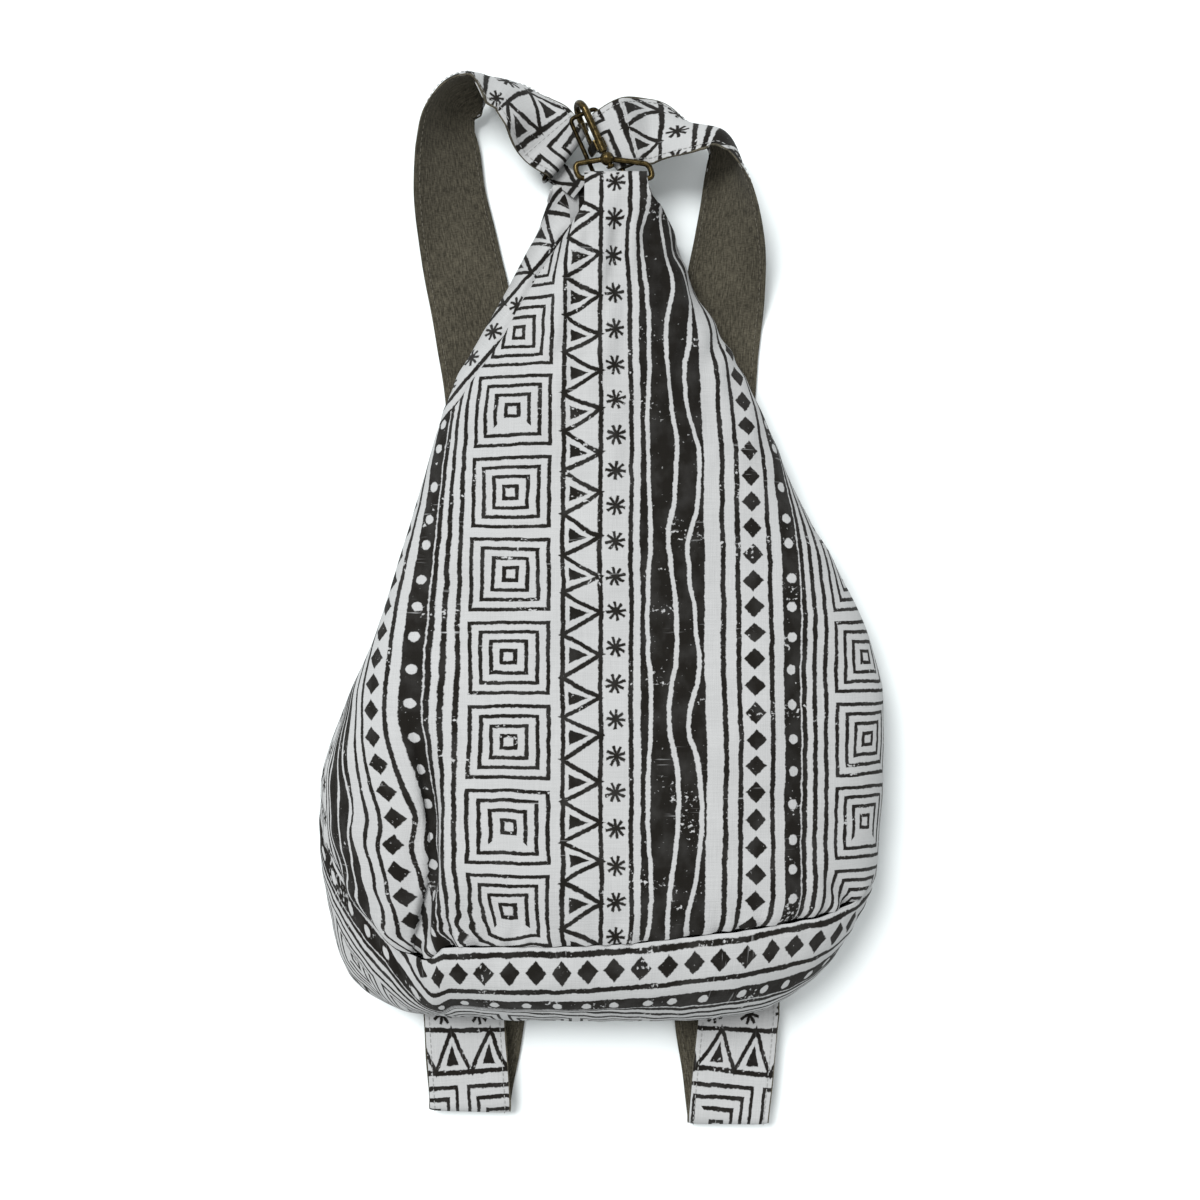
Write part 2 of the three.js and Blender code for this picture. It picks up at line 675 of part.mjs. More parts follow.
function addRingTab() {
  const barDirection = UP.clone().cross(leftAlong);
  const lowerBar = leftRing.bar.clone().addScaledVector(UP, -LEFT_RING_GAP - RING_WIRE);
  const centre = lowerBar.addScaledVector(barDirection, -TAB_PLACE);
  const radius = RING_WIRE / 2 + TAB_SLACK + TAB_PLY / 2;
  const pinched = CLOTH / 2 + SEAM_GAP + TAB_PLY / 2;
  const level = BACK_TOP_Z + CLOTH / 2 - centre.z;
  const frames = [];
  const addFrame = (along, height, face) => frames.push({
    centre: centre.clone().addScaledVector(leftAlong, along).addScaledVector(UP, height),
    side: barDirection,
    face,
    width: TAB_WIDTH,
  });
  const down = UP.clone().negate();
  addFrame(TAB_LENGTH, level + pinched, UP);
  addFrame(TAB_PINCH, level + pinched, UP);
  for (const turn of spread(Math.PI / 2, 1.5 * Math.PI, FOLD_STEPS)) {
    const out = leftAlong.clone().multiplyScalar(Math.cos(turn)).addScaledVector(UP, Math.sin(turn));
    addFrame(radius * Math.cos(turn), radius * Math.sin(turn), out);
  }
  addFrame(TAB_PINCH, level - pinched, down);
  addFrame(TAB_LENGTH, level - pinched, down);
  addPiece(backpack, 'ring_tab', bandSolid(frames, -TAB_PLY / 2, TAB_PLY / 2), PRINT);
}

// Swivel hook: local Y runs along the shank towards the nose, local X to its right
const hook = new THREE.Group();
hook.position.set(HOOK_X, HOOK_Y, HOOK_Z);
hook.rotation.z = degToRad(HOOK_TURN);
backpack.add(hook);
hook.updateMatrixWorld(true);

const rightBarY = BOWL_AT + RING_SEAT - RING_LENGTH / 2;
const rightRing = {
  bar: hook.localToWorld(new THREE.Vector3(RIGHT_BAR_SIDE, rightBarY, -RIGHT_BAR_DROP)),
  along: new THREE.Vector3(-Math.cos(degToRad(HOOK_TURN)), -Math.sin(degToRad(HOOK_TURN)), 0),
};

function addRightRing() {
  const ring = addPiece(hook, 'right_ring', ringGeometry(RIGHT_RING_GAP), BRASS);
  ring.position.set(RIGHT_BAR_SIDE, rightBarY, -RIGHT_BAR_DROP);
  ring.rotation.z = Math.PI / 2;
}

function hookEye() {
  const eye = new THREE.Group();
  eye.position.copy(hook.position);
  backpack.add(eye);
  const barY = EYE_BAR_Y - HOOK_Y;
  const left = HEM_LEFT - EYE_SIDE_PLAY - EYE_WIRE / 2 - HOOK_X;
  const right = HEM_RIGHT + EYE_SIDE_PLAY + EYE_WIRE / 2 - HOOK_X;
  const corners = [
    [left, barY],
    [right, barY],
    [right - EYE_LEAN, -EYE_SHOULDER_DROP],
    [0, 0],
    [left - EYE_LEAN, -EYE_SHOULDER_DROP],
  ].map(([x, y]) => new THREE.Vector3(x, y, 0));
  const path = roundedLoop(corners, EYE_WIRE, CORNER_STEPS);
  const wire = wireSolid(path, UP, () => EYE_WIRE / 2, WIRE_SIDES, true);
  const knuckle = new THREE.SphereGeometry(KNUCKLE_RADIUS, ROUND_SIDES, WIRE_SIDES);
  const boreRadius = STUD_RADIUS + RUNNING_GAP;
  const bore = new THREE.CylinderGeometry(boreRadius, boreRadius, 4 * KNUCKLE_RADIUS, ROUND_SIDES);
  bore.rotateZ(degToRad(HOOK_TURN));
  const solid = toManifold(wire).add(toManifold(knuckle)).subtract(toManifold(bore));
  addPiece(eye, 'hook_eye', fromManifold(solid), BRASS);
}

// The jaw hangs from the shank, leaning to the left
const jaw = new THREE.Group();
jaw.rotation.y = degToRad(JAW_LEAN);
hook.add(jaw);

const SIDEWAYS = new THREE.Vector3(1, 0, 0);
const gatePivot = new THREE.Vector3(0, CHEEK_AT, GATE_PIVOT_RISE - 2 * BOWL_RADIUS);
const coilWidth = (SPRING_TURNS + 1) * SPRING_WIRE;
const cheekInner = (GATE_WIDTH + coilWidth) / 2 + 1.5 * RUNNING_GAP;
const pinLength = 2 * (cheekInner + CHEEK_THICKNESS);
const gateCentre = -cheekInner + RUNNING_GAP + GATE_WIDTH / 2;
const gateTipZ = NOSE_TIP_RADIUS + RUNNING_GAP + GATE_HEIGHT / 2 - 2 * BOWL_RADIUS;
const gateTipY = BOWL_AT - NOSE_RETURN + GATE_LAP;

function hookBody() {
  const shankStart = KNUCKLE_RADIUS + RUNNING_GAP;
  const path = spread(shankStart, BOWL_AT, 3).map((y) => new THREE.Vector3(0, y, 0));
  for (const turn of spread(Math.PI / 2, -Math.PI / 2, ROUND_SIDES).slice(1)) {
    const y = BOWL_AT + BOWL_RADIUS * Math.cos(turn);
    path.push(new THREE.Vector3(0, y, BOWL_RADIUS * (Math.sin(turn) - 1)));
  }
  path.push(new THREE.Vector3(0, BOWL_AT - NOSE_RETURN, -2 * BOWL_RADIUS));
  const taper = (share) => lerp(SHANK_RADIUS, NOSE_TIP_RADIUS, share);
  const rod = wireSolid(path, SIDEWAYS, taper, ROUND_SIDES, false);
  const studLength = 2 * shankStart + RIVET_THICKNESS;
  const stud = new THREE.CylinderGeometry(STUD_RADIUS, STUD_RADIUS, studLength, ROUND_SIDES);
  stud.translate(0, shankStart + STUD_RADIUS / 2 - studLength / 2, 0);
  const head = new THREE.CylinderGeometry(RIVET_RADIUS, RIVET_TIP_RADIUS, RIVET_THICKNESS, ROUND_SIDES);
  head.translate(0, -shankStart - RIVET_THICKNESS / 2, 0);
  let solid = toManifold(rod).add(toManifold(stud)).add(toManifold(head));
  const cheekShape = new THREE.Shape();
  const reach = CHEEK_WIDTH / 2;
  cheekShape.moveTo(CHEEK_AT + reach, 0);
  cheekShape.lineTo(CHEEK_AT + reach, gatePivot.z);
  cheekShape.absarc(CHEEK_AT, gatePivot.z, reach, 0, -Math.PI, true);
  cheekShape.lineTo(CHEEK_AT - reach, 0);
  const boreRadius = PIN_RADIUS + RUNNING_GAP / 2;
  const bore = new THREE.CylinderGeometry(boreRadius, boreRadius, 2 * pinLength, ROUND_SIDES);
  bore.rotateZ(Math.PI / 2);
  bore.translate(0, gatePivot.y, gatePivot.z);
  const addCheek = (x) => {
    const plate = new THREE.ExtrudeGeometry(cheekShape, {
      depth: CHEEK_THICKNESS,
      bevelEnabled: false,
      curveSegments: WIRE_SIDES,
    });
    plate.applyMatrix4(new THREE.Matrix4().makeBasis(new THREE.Vector3(0, 1, 0), UP, SIDEWAYS));
    plate.translate(x, 0, 0);
    solid = solid.add(toManifold(plate));
  };
  addCheek(cheekInner);
  addCheek(-cheekInner - CHEEK_THICKNESS);
  const bridge = new THREE.BoxGeometry(pinLength, CHEEK_WIDTH, SHANK_RADIUS);
  bridge.translate(0, CHEEK_AT, -SHANK_RADIUS / 2);
  solid = solid.add(toManifold(bridge)).subtract(toManifold(bore));
  addPiece(jaw, 'hook_body', fromManifold(solid), BRASS);
}

function hookGate() {
  const shape = new THREE.Shape();
  const half = GATE_HEIGHT / 2;
  const round = half + RUNNING_GAP;
  shape.moveTo(CHEEK_AT, gatePivot.z + round);
  shape.absarc(CHEEK_AT, gatePivot.z, round, Math.PI / 2, 1.5 * Math.PI, false);
  shape.lineTo(gateTipY - 2 * GATE_LAP, gateTipZ - half - RUNNING_GAP);
  shape.lineTo(gateTipY - GATE_LAP - RUNNING_GAP, gateTipZ - half);
  shape.lineTo(gateTipY, gateTipZ - half);
  shape.lineTo(gateTipY, gateTipZ + half - GATE_BEVEL);
  shape.lineTo(gateTipY - GATE_BEVEL, gateTipZ + half);
  const hole = new THREE.Path();
  hole.absarc(CHEEK_AT, gatePivot.z, PIN_RADIUS + RUNNING_GAP, 0, 2 * Math.PI, true);
  shape.holes.push(hole);
  const leaf = new THREE.ExtrudeGeometry(shape, {
    depth: GATE_WIDTH,
    bevelEnabled: false,
    curveSegments: WIRE_SIDES,
  });
  leaf.applyMatrix4(new THREE.Matrix4().makeBasis(new THREE.Vector3(0, 1, 0), UP, SIDEWAYS));
  leaf.translate(gateCentre - GATE_WIDTH / 2, 0, 0);
  addPiece(jaw, 'hook_gate', fromManifold(toManifold(leaf)), BRASS);
  const pin = new THREE.CylinderGeometry(PIN_RADIUS, PIN_RADIUS, pinLength, ROUND_SIDES);
  pin.rotateZ(Math.PI / 2);
  pin.translate(0, gatePivot.y, gatePivot.z);
  addPiece(jaw, 'gate_pin', pin, BRASS);
}

// Torsion coil on the pin beside the gate, with a leg that bears up against the bridge
function gateSpring() {
  const coilRadius = PIN_RADIUS + RUNNING_GAP + SPRING_WIRE / 2;
  const startX = gateCentre + GATE_WIDTH / 2 + RUNNING_GAP + SPRING_WIRE / 2;
  const count = SPRING_TURNS * ROUND_SIDES;
  const path = spread(0, 1, count).map((share) => {
    const turn = 2 * Math.PI * SPRING_TURNS * share;
    const x = startX + SPRING_WIRE * SPRING_TURNS * share;
    const y = gatePivot.y + coilRadius * Math.cos(turn);
    return new THREE.Vector3(x, y, gatePivot.z + coilRadius * Math.sin(turn));
  });
  const end = path[path.length - 1];
  path.push(end.clone().add(new THREE.Vector3(0, 0, SPRING_LEG)));
  const curve = new THREE.CatmullRomCurve3(path, false, 'centripetal');
  const wire = new THREE.Shape();
  wire.absarc(0, 0, (SPRING_WIRE - SPRING_TURN_GAP) / 2, 0, 2 * Math.PI, false);
  const coil = new THREE.ExtrudeGeometry(wire, {
    steps: 2 * path.length,
    extrudePath: curve,
    curveSegments: WIRE_SIDES / 2,
  });
  addPiece(jaw, 'gate_spring', fromManifold(toManifold(coil)), BRASS);
}

frontPanel();
bottomPanel();
backPanel();
const leftWay = [LEFT_SEWN_X, LEFT_LOOP_X, LEFT_LOOP_Y, LEFT_STRAP_WAY];
const rightWay = [RIGHT_SEWN_X, RIGHT_LOOP_X, RIGHT_LOOP_Y, RIGHT_STRAP_WAY];
addStrap('left_strap', strapFrames(...leftWay, leftRing, -1));
addStrap('right_strap', strapFrames(...rightWay, rightRing, 1));
addLeftRing();
addRingTab();
addRightRing();
hookEye();
hookBody();
hookGate();
gateSpring();

// The middle of the whole box stands over the origin, seen from above
const middle = new THREE.Box3().setFromObject(backpack).getCenter(new THREE.Vector3());
backpack.position.set(-middle.x, -middle.y, 0);

export default backpack;
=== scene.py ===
# Cotton sling backpack lying on its back: printed cloth panels, lined straps and brass fittings,
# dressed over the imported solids. Sizes in the sections are millimetres unless a comment says metres.
import math

import bpy
import numpy as np
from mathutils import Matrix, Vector


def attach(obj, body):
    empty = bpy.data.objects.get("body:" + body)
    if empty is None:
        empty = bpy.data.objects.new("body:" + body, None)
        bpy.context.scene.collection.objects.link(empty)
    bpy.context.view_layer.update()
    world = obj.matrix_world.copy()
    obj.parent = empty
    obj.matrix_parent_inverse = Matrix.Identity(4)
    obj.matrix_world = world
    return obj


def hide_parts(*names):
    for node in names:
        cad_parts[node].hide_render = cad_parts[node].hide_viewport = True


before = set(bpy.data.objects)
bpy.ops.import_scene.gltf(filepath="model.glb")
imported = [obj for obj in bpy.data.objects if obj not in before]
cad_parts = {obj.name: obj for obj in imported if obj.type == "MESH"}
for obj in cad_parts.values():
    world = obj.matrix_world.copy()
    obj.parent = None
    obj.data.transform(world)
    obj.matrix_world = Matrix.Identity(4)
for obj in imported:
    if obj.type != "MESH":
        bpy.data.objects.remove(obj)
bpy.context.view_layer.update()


# Camera
# It hangs square above the bag, which was photographed lying on a pale table.
MM = 0.001
CAMERA_PLACE = (-0.77, 0.27, 1125)
CAMERA_LENS = 60
CAMERA_SENSOR = 36


def link_object(name, data):
    made = bpy.data.objects.new(name, data)
    bpy.context.scene.collection.objects.link(made)
    return made


camera = link_object("camera", bpy.data.cameras.new("camera"))
camera.data.sensor_width = CAMERA_SENSOR
camera.data.lens = CAMERA_LENS
camera.location = [MM * value for value in CAMERA_PLACE]
bpy.context.scene.camera = camera


# Table and light
# A pale table top just under the bag, a bright even room, and a broad lamp up to the left whose
# soft shadows fall a little to the right of the bag. Sizes in metres.
FLOOR_HALF = 3.0
FLOOR_Z = -0.0006
FLOOR_COLOUR = (0.77, 0.815, 0.82, 1)
FLOOR_ROUGHNESS = 0.8
LAMP_STRENGTH = 3.25
LAMP_FROM = (-0.36, 0.42, 1.0)
LAMP_SOFTNESS = math.radians(24)
ROOM_LIGHT = 0.84


def new_surface(name, roughness):
    material = bpy.data.materials.new(name)
    material.use_nodes = True
    shader = material.node_tree.nodes["Principled BSDF"]
    shader.inputs["Roughness"].default_value = roughness
    return material, shader


floor_mesh = bpy.data.meshes.new("table_top")
floor_signs = ((-1, -1), (1, -1), (1, 1), (-1, 1))
floor_corners = [(x * FLOOR_HALF, y * FLOOR_HALF, FLOOR_Z) for x, y in floor_signs]
floor_mesh.from_pydata(floor_corners, [], [(0, 1, 2, 3)])
table_white, table_shader = new_surface("table_white", FLOOR_ROUGHNESS)
table_shader.inputs["Base Color"].default_value = FLOOR_COLOUR
floor_mesh.materials.append(table_white)
link_object("table_top", floor_mesh)

lamp = link_object("lamp", bpy.data.lights.new("lamp", "SUN"))
lamp.data.energy = LAMP_STRENGTH
lamp.data.angle = LAMP_SOFTNESS
lamp.rotation_mode = "QUATERNION"
lamp.rotation_quaternion = Vector(LAMP_FROM).to_track_quat("Z", "Y")
room = bpy.data.worlds.new("room")
room.use_nodes = True
room_light = room.node_tree.nodes["Background"].inputs
room_light["Color"].default_value = (1, 1, 1, 1)
room_light["Strength"].default_value = ROOM_LIGHT
bpy.context.scene.world = room
bpy.context.scene.view_settings.view_transform = "Standard"


# Front panel
# The belly of the bag: one piece of medium cotton cloth, block printed in brown black, sewn to the
# base along its lower edge and to the back down both sides, its top hemmed round the hook's eye.
CLOTH_WALL = 0.9
SEAM_GAP = 0.3
# The sizes are drawn about the belly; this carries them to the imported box's middle
PLAN_SHIFT = np.array([-0.2215, 3.5744, 0])
SEAM_Y = -183
NECK_Y = 150
BODY_HALF_WIDTH = 154.5
OUTLINE = [
    (-196, -0.867, 0.887), (-168, -0.929, 0.958), (-124, -1, 0.99), (-97, -0.984, 1),
    (-58, -0.903, 0.994), (-25, -0.809, 0.951), (19, -0.718, 0.816), (63, -0.634, 0.673),
    (109, -0.544, 0.547), (165, -0.35, 0.345), (208, -0.205, 0.238), (231, -0.138, 0.158),
]
SIDE_SEAM = [
    (SEAM_Y, 15), (-150, 22), (-90, 26), (-20, 26), (60, 22), (130, 16), (190, 11), (222, 8.5),
]
MOUTH_Y = 194
MOUTH_TOP_Y = 212
HEM_LEFT = -9
HEM_RIGHT = 25
HEM_RADIUS = 3.9
HOOK_Z = 40
EYE_BAR_Y = 225.5
BEFORE_BAR_Y = (MOUTH_TOP_Y + EYE_BAR_Y) / 2
HEM_FLAT_Y = 202
CROWN = [(SEAM_Y, 84), (-150, 90), (-30, 76), (80, 62), (180, 48), (EYE_BAR_Y, HOOK_Z + HEM_RADIUS)]
LEFT_ROUND = 2.1
RIGHT_ROUND = 2.8
SEAM_RISE = [
    (-1, 70), (-0.96, 38), (-0.89, 9), (-0.79, -9), (-0.7, -11), (-0.6, -3), (0, 0), (0.35, 5),
    (0.65, 10), (0.85, 15), (1, 26),
]
SEAM_BLEND = 180
CREASE = [
    (SEAM_Y, -104, 9), (-164, -99, 9), (-134, -97, 8), (-109, -91, 7), (-77, -96, 4), (-24, -108, 0),
]
CREASE_WIDTH = 9
NECK_FOLD = [
    (88, -88, 0), (115, -71, 2), (137, -55, 4), (158, -44, 5), (179, -31, 5), (200, -17, 3),
    (MOUTH_TOP_Y, HEM_LEFT, 0),
]
NECK_FOLD_WIDTH = 7
FOLD_FOOT_Y = 88
FOLD_ROLL = 1.6
LAP = [
    (-190, -104.5, 6), (-166, -99.6, 7.5), (-149, -95.5, 7.5), (-132, -94.8, 6.5), (-112, -96.7, 5),
    (-93, -99.4, 3.2), (-78, -102, 1.6), (-45, -107, 0),
]
LOBE_SHIFT = [
    (-175, 3), (-149, 3.5), (-131, 5.5), (-116, 7), (-100, 9), (-86, 11), (-71, 13.5), (-57, 15),
    (-28, 15), (40, 8), (100, 0),
]
GATHER_START_Y = -20
GATHER_DEPTH = 1.3
GATHERS = 5
PUCKER_DEPTH = 1.1
PLEAT_DEPTH = 1.9
TURNED_IN_DEPTH = 1.2
TUCK_DEPTH = 3.5
SIDE_FOLD_DEPTH = 1.6
PULL_DEPTH = 0.7
SHARP_EDGE = math.radians(60)
FRONT_COLUMNS = 208
FRONT_ROWS = 210
HEM_ROWS = 18


def smooth_step(value, low, high):
    share = np.clip((value - low) / (high - low), 0, 1)
    return share * share * (3 - 2 * share)


def mix(first, second, share):
    return first + (second - first) * share


def profile(stations, column=1):
    # Smooth curve through stations that never overshoots them
    at = np.array([row[0] for row in stations], float)
    value = np.array([row[column] for row in stations], float)
    rise = np.diff(value) / np.diff(at)
    slope = np.zeros(len(at))
    slope[0], slope[-1] = rise[0], rise[-1]
    for k in range(1, len(at) - 1):
        before, after = rise[k - 1], rise[k]
        slope[k] = 0 if before * after <= 0 else 2 * before * after / (before + after)

    def curve(where):
        held = np.clip(where, at[0], at[-1])
        k = np.clip(np.searchsorted(at, held, "right") - 1, 0, len(at) - 2)
        span = at[k + 1] - at[k]
        t = (held - at[k]) / span
        keep = (1 + 2 * t) * (1 - t) ** 2 * value[k] + t * t * (3 - 2 * t) * value[k + 1]
        return keep + span * t * (1 - t) * ((1 - t) * slope[k] - t * slope[k + 1])

    return curve


left_share = profile(OUTLINE, 1)
right_share = profile(OUTLINE, 2)
seam_height = profile(SIDE_SEAM)
crown = profile(CROWN)
seam_rise = profile(SEAM_RISE)
crease_x = profile(CREASE, 1)
crease_depth = profile(CREASE, 2)
neck_fold_x = profile(NECK_FOLD, 1)
neck_fold_depth = profile(NECK_FOLD, 2)
lap_x = profile(LAP, 1)
lap_height = profile(LAP, 2)


def section(theta):
    cosine = np.cos(theta)
    power = 2 / np.where(cosine > 0, LEFT_ROUND, RIGHT_ROUND)
    across = -np.sign(cosine) * np.abs(cosine) ** power
    return across, np.maximum(np.sin(theta), 0) ** power


def between(left, right, across):
    return (left + right) / 2 + across * (right - left) / 2


def row_y(y, across):
    return y + seam_rise(across) * (1 - smooth_step(y, SEAM_Y, SEAM_Y + SEAM_BLEND))


def fold_height(x, y, across):
    crease = crease_depth(y) * np.exp(-((x - crease_x(y)) / CREASE_WIDTH) ** 2)
    neck_fold = neck_fold_depth(y) * np.exp(-((x - neck_fold_x(y)) / NECK_FOLD_WIDTH) ** 2)
    gather = smooth_step(y, GATHER_START_Y, MOUTH_Y) * (1 - smooth_step(y, MOUTH_Y, MOUTH_TOP_Y))
    return GATHER_DEPTH * gather * np.cos(across * GATHERS * np.pi) - crease - neck_fold


def section_angle(across):
    rounding = np.where(across < 0, LEFT_ROUND, RIGHT_ROUND)
    return np.arccos(np.clip(-np.sign(across) * np.abs(across) ** (rounding / 2), -1, 1))


def outline(y):
    return BODY_HALF_WIDTH * left_share(y), BODY_HALF_WIDTH * right_share(y)


def front_point(y, theta):
    across, height = section(theta)
    here = row_y(y, across)
    x = between(*outline(here), across)
    edge = seam_height(here) + SEAM_GAP / 2
    z = edge + (crown(here) - edge + fold_height(x, here, across)) * height
    return np.stack([x, here, mix(z, crown(here), smooth_step(here, HEM_FLAT_Y, BEFORE_BAR_Y))], -1)


def angles_between(y, from_x, to_x):
    # Angles round the section from one place across the bag to another, for rows of points
    left, right = outline(y)
    start, stop = (section_angle((2 * x - left - right) / (right - left)) for x in (from_x, to_x))
    return start + front_angles[None, :] / np.pi * (stop - start)


def even_angles(count):
    # Angles round the section whose points lie evenly along it, at about the belly's size
    half_width, rise = 150, 60
    dense = np.linspace(0, np.pi, 4000)
    across, height = section(dense)
    steps = np.hypot(np.diff(across * half_width), np.diff(height * rise))
    length = np.concatenate([[0], np.cumsum(steps)])
    return np.interp(np.linspace(0, length[-1], count + 1), length, dense)


def grid_normals(grid):
    along = np.gradient(grid, axis=0)
    across = np.gradient(grid, axis=1)
    normal = np.cross(across, along)
    return normal / np.maximum(np.linalg.norm(normal, axis=-1, keepdims=True), 1e-9)


def soft_noise(x, y, scale, seed):
    # Smooth uneven ground between about -1 and 1, the same on every run
    random = np.random.default_rng(seed)
    total = np.zeros(np.broadcast(x, y).shape)
    for _ in range(7):
        heading, phase = random.uniform(0, 2 * np.pi, 2)
        pace = 2 * np.pi * random.uniform(0.6, 1.6) / scale
        total += np.sin(pace * (x * np.cos(heading) + y * np.sin(heading)) + phase)
    return total / 4


def cloth_piece(name, grid, print_place, wall, material):
    # A grid of outer points in millimetres given a wall on its inner side
    rows, columns = grid.shape[:2]
    inner = grid - wall * grid_normals(grid)
    vertices = (np.concatenate([grid.reshape(-1, 3), inner.reshape(-1, 3)]) + PLAN_SHIFT) * MM
    ids = np.arange(rows * columns).reshape(rows, columns)
    back = ids + rows * columns

    def quads(a, b, c, d):
        return np.stack([a, b, c, d], -1).reshape(-1, 4)

    faces = np.concatenate([
        quads(ids[:-1, :-1], ids[:-1, 1:], ids[1:, 1:], ids[1:, :-1]),
        quads(back[:-1, :-1], back[1:, :-1], back[1:, 1:], back[:-1, 1:]),
        quads(ids[:-1, 0], ids[1:, 0], back[1:, 0], back[:-1, 0]),
        quads(ids[:-1, -1], back[:-1, -1], back[1:, -1], ids[1:, -1]),
        quads(ids[0, :-1], back[0, :-1], back[0, 1:], ids[0, 1:]),
        quads(ids[-1, :-1], ids[-1, 1:], back[-1, 1:], back[-1, :-1]),
    ])
    mesh = bpy.data.meshes.new(name)
    mesh.from_pydata(vertices.tolist(), [], faces.tolist())
    mesh.materials.append(material)
    places = np.concatenate([print_place.reshape(-1, 2)] * 2)
    layer = mesh.uv_layers.new(name="print")
    layer.data.foreach_set("uv", places[faces.reshape(-1)].astype(np.float32).reshape(-1))
    mesh.shade_smooth()
    mesh.set_sharp_from_angle(angle=SHARP_EDGE)
    return link_object(name, mesh)


# The print's repeat across the cloth, and where its drawn shapes stand in it
PRINT_REPEAT = 196.3
PRINT_START = 73.5
PRINT_LINES = [
    (53.4, 1.25), (73.24, 1.2), (89.2, 1.25), (138.1, 1.35), (146.1, 1.35), (163.6, 1.35), (182.1, 1.3),
    (187.8, 1.3), (194.1, 1.25),
]
SQUARE_AT, SQUARE_HALF_U, SQUARE_HALF_V, SQUARE_PITCH, SQUARE_TOP = 25, 22.05, 19.45, 43.85, 98.1
SQUARE_STEP, SQUARE_LINE = 5.1, 1.0
ZIGZAG_FROM, ZIGZAG_TO, ZIGZAG_PITCH, ZIGZAG_LINE = 53.4, 73.2, 21.6, 1.18
ZIGZAG_LEAN = 0.479
WEDGE_FROM, WEDGE_TO, WEDGE_HALF = 56.8, 66.8, 3.9
STAR_AT, STAR_RADIUS, STAR_ARM, STAR_PITCH = 81.1, 5.3, 0.8, 18.8
STAR_SPREAD_FROM, STAR_SPREAD = 118, 0.066
BAND_FROM, BAND_TO = 94.2, 128.3
BAND_WAVES = [(98.8, 0.9, 92, 1.15, 3.9), (111.3, 2.4, 92, 1.2, 1.4), (122.4, 3.4, 92, 1.2, 1.8)]
DIAMOND_AT, DIAMOND_HALF_U, DIAMOND_HALF_V, DIAMOND_PITCH = 154.4, 5.7, 5.6, 13.9
DOTS_FROM, DOTS_TO, DOT_RADIUS, DOT_PITCH = 170.4, 180, 2.6, 16.9
COTTON_COLOUR = (0.362, 0.369, 0.37, 1)
INK_COLOUR = (0.0072, 0.0063, 0.005, 1)
YARN_PITCH = 0.8


class Field:
    # One value over the cloth, worked out by the shader's own sums
    def __init__(self, socket):
        self.socket = socket

    def sum(self, operation, *others, clamp=False):
        tree = self.socket.id_data
        node = tree.nodes.new("ShaderNodeMath")
        node.operation = operation
        node.use_clamp = clamp
        for entry, item in zip(node.inputs, (self, *others)):
            if isinstance(item, Field):
                tree.links.new(item.socket, entry)
            else:
                entry.default_value = item
        return Field(node.outputs[0])

    def __add__(self, other):
        return self.sum("ADD", other)

    def __sub__(self, other):
        return self.sum("SUBTRACT", other)

    def __rsub__(self, other):
        return self.sum("MULTIPLY_ADD", -1.0, other)

    def __mul__(self, other):
        return self.sum("MULTIPLY", other)

    def __abs__(self):
        return self.sum("ABSOLUTE")

    def wrap(self, period):
        return self.sum("FLOORED_MODULO", period)

    def cell(self, period):
        return (self * (1 / period)).sum("FLOOR")

    def least(self, other):
        return self.sum("MINIMUM", other)

    def most(self, other):
        return self.sum("MAXIMUM", other)

    def held(self):
        return self.sum("ADD", 0.0, clamp=True)


def feed(node, given):
    # Inputs joined to the given fields and sockets, or set to the given values; gives the outputs
    for name, value in given.items():
        source = value.socket if isinstance(value, Field) else value
        if isinstance(source, bpy.types.NodeSocket):
            node.id_data.links.new(source, node.inputs[name])
        else:
            node.inputs[name].default_value = source
    return node.outputs


def cloth_noise(u, v, u_size, v_size, detail=1.0):
    # Noise from 0 to 1 whose spots are about this long each way
    new = u.socket.id_data.nodes.new
    place = feed(new("ShaderNodeCombineXYZ"), {"X": u * (1 / u_size), "Y": v * (1 / v_size)})
    node = new("ShaderNodeTexNoise")
    node.noise_dimensions = "2D"
    return Field(feed(node, {"Scale": 1.0, "Detail": detail, "Vector": place[0]})[0])


def cell_random(cell):
    node = cell.socket.id_data.nodes.new("ShaderNodeTexWhiteNoise")
    node.noise_dimensions = "1D"
    return Field(feed(node, {"W": cell})["Value"])


def cloth_place(tree):
    # Where a point of the piece lies on its flat cloth, in millimetres
    place = tree.nodes.new("ShaderNodeUVMap")
    place.uv_map = "print"
    split = feed(tree.nodes.new("ShaderNodeSeparateXYZ"), {"Vector": place.outputs[0]})
    return Field(split[0]), Field(split[1])


def nested_squares(q, v):
    x = abs(q - SQUARE_AT) * (SQUARE_HALF_V / SQUARE_HALF_U)
    row = v + (SQUARE_PITCH / 2 - SQUARE_TOP)
    y = row.wrap(SQUARE_PITCH) - SQUARE_PITCH / 2
    below = y + SQUARE_HALF_V
    beside = SQUARE_HALF_V - x
    depth = beside.least(SQUARE_HALF_V - abs(y))
    ring = abs(depth.wrap(SQUARE_STEP) - SQUARE_LINE) - SQUARE_LINE
    # On some squares the third ring was cut without its lower side
    open_side = below.sum("LESS_THAN", 2.6 * SQUARE_STEP)
    open_side = open_side * below.sum("GREATER_THAN", 1.7 * SQUARE_STEP)
    open_side = open_side * below.sum("LESS_THAN", beside)
    open_side = open_side * cell_random(row.cell(SQUARE_PITCH)).sum("GREATER_THAN", 0.5)
    return ring.most(depth * -1) + open_side * SQUARE_STEP


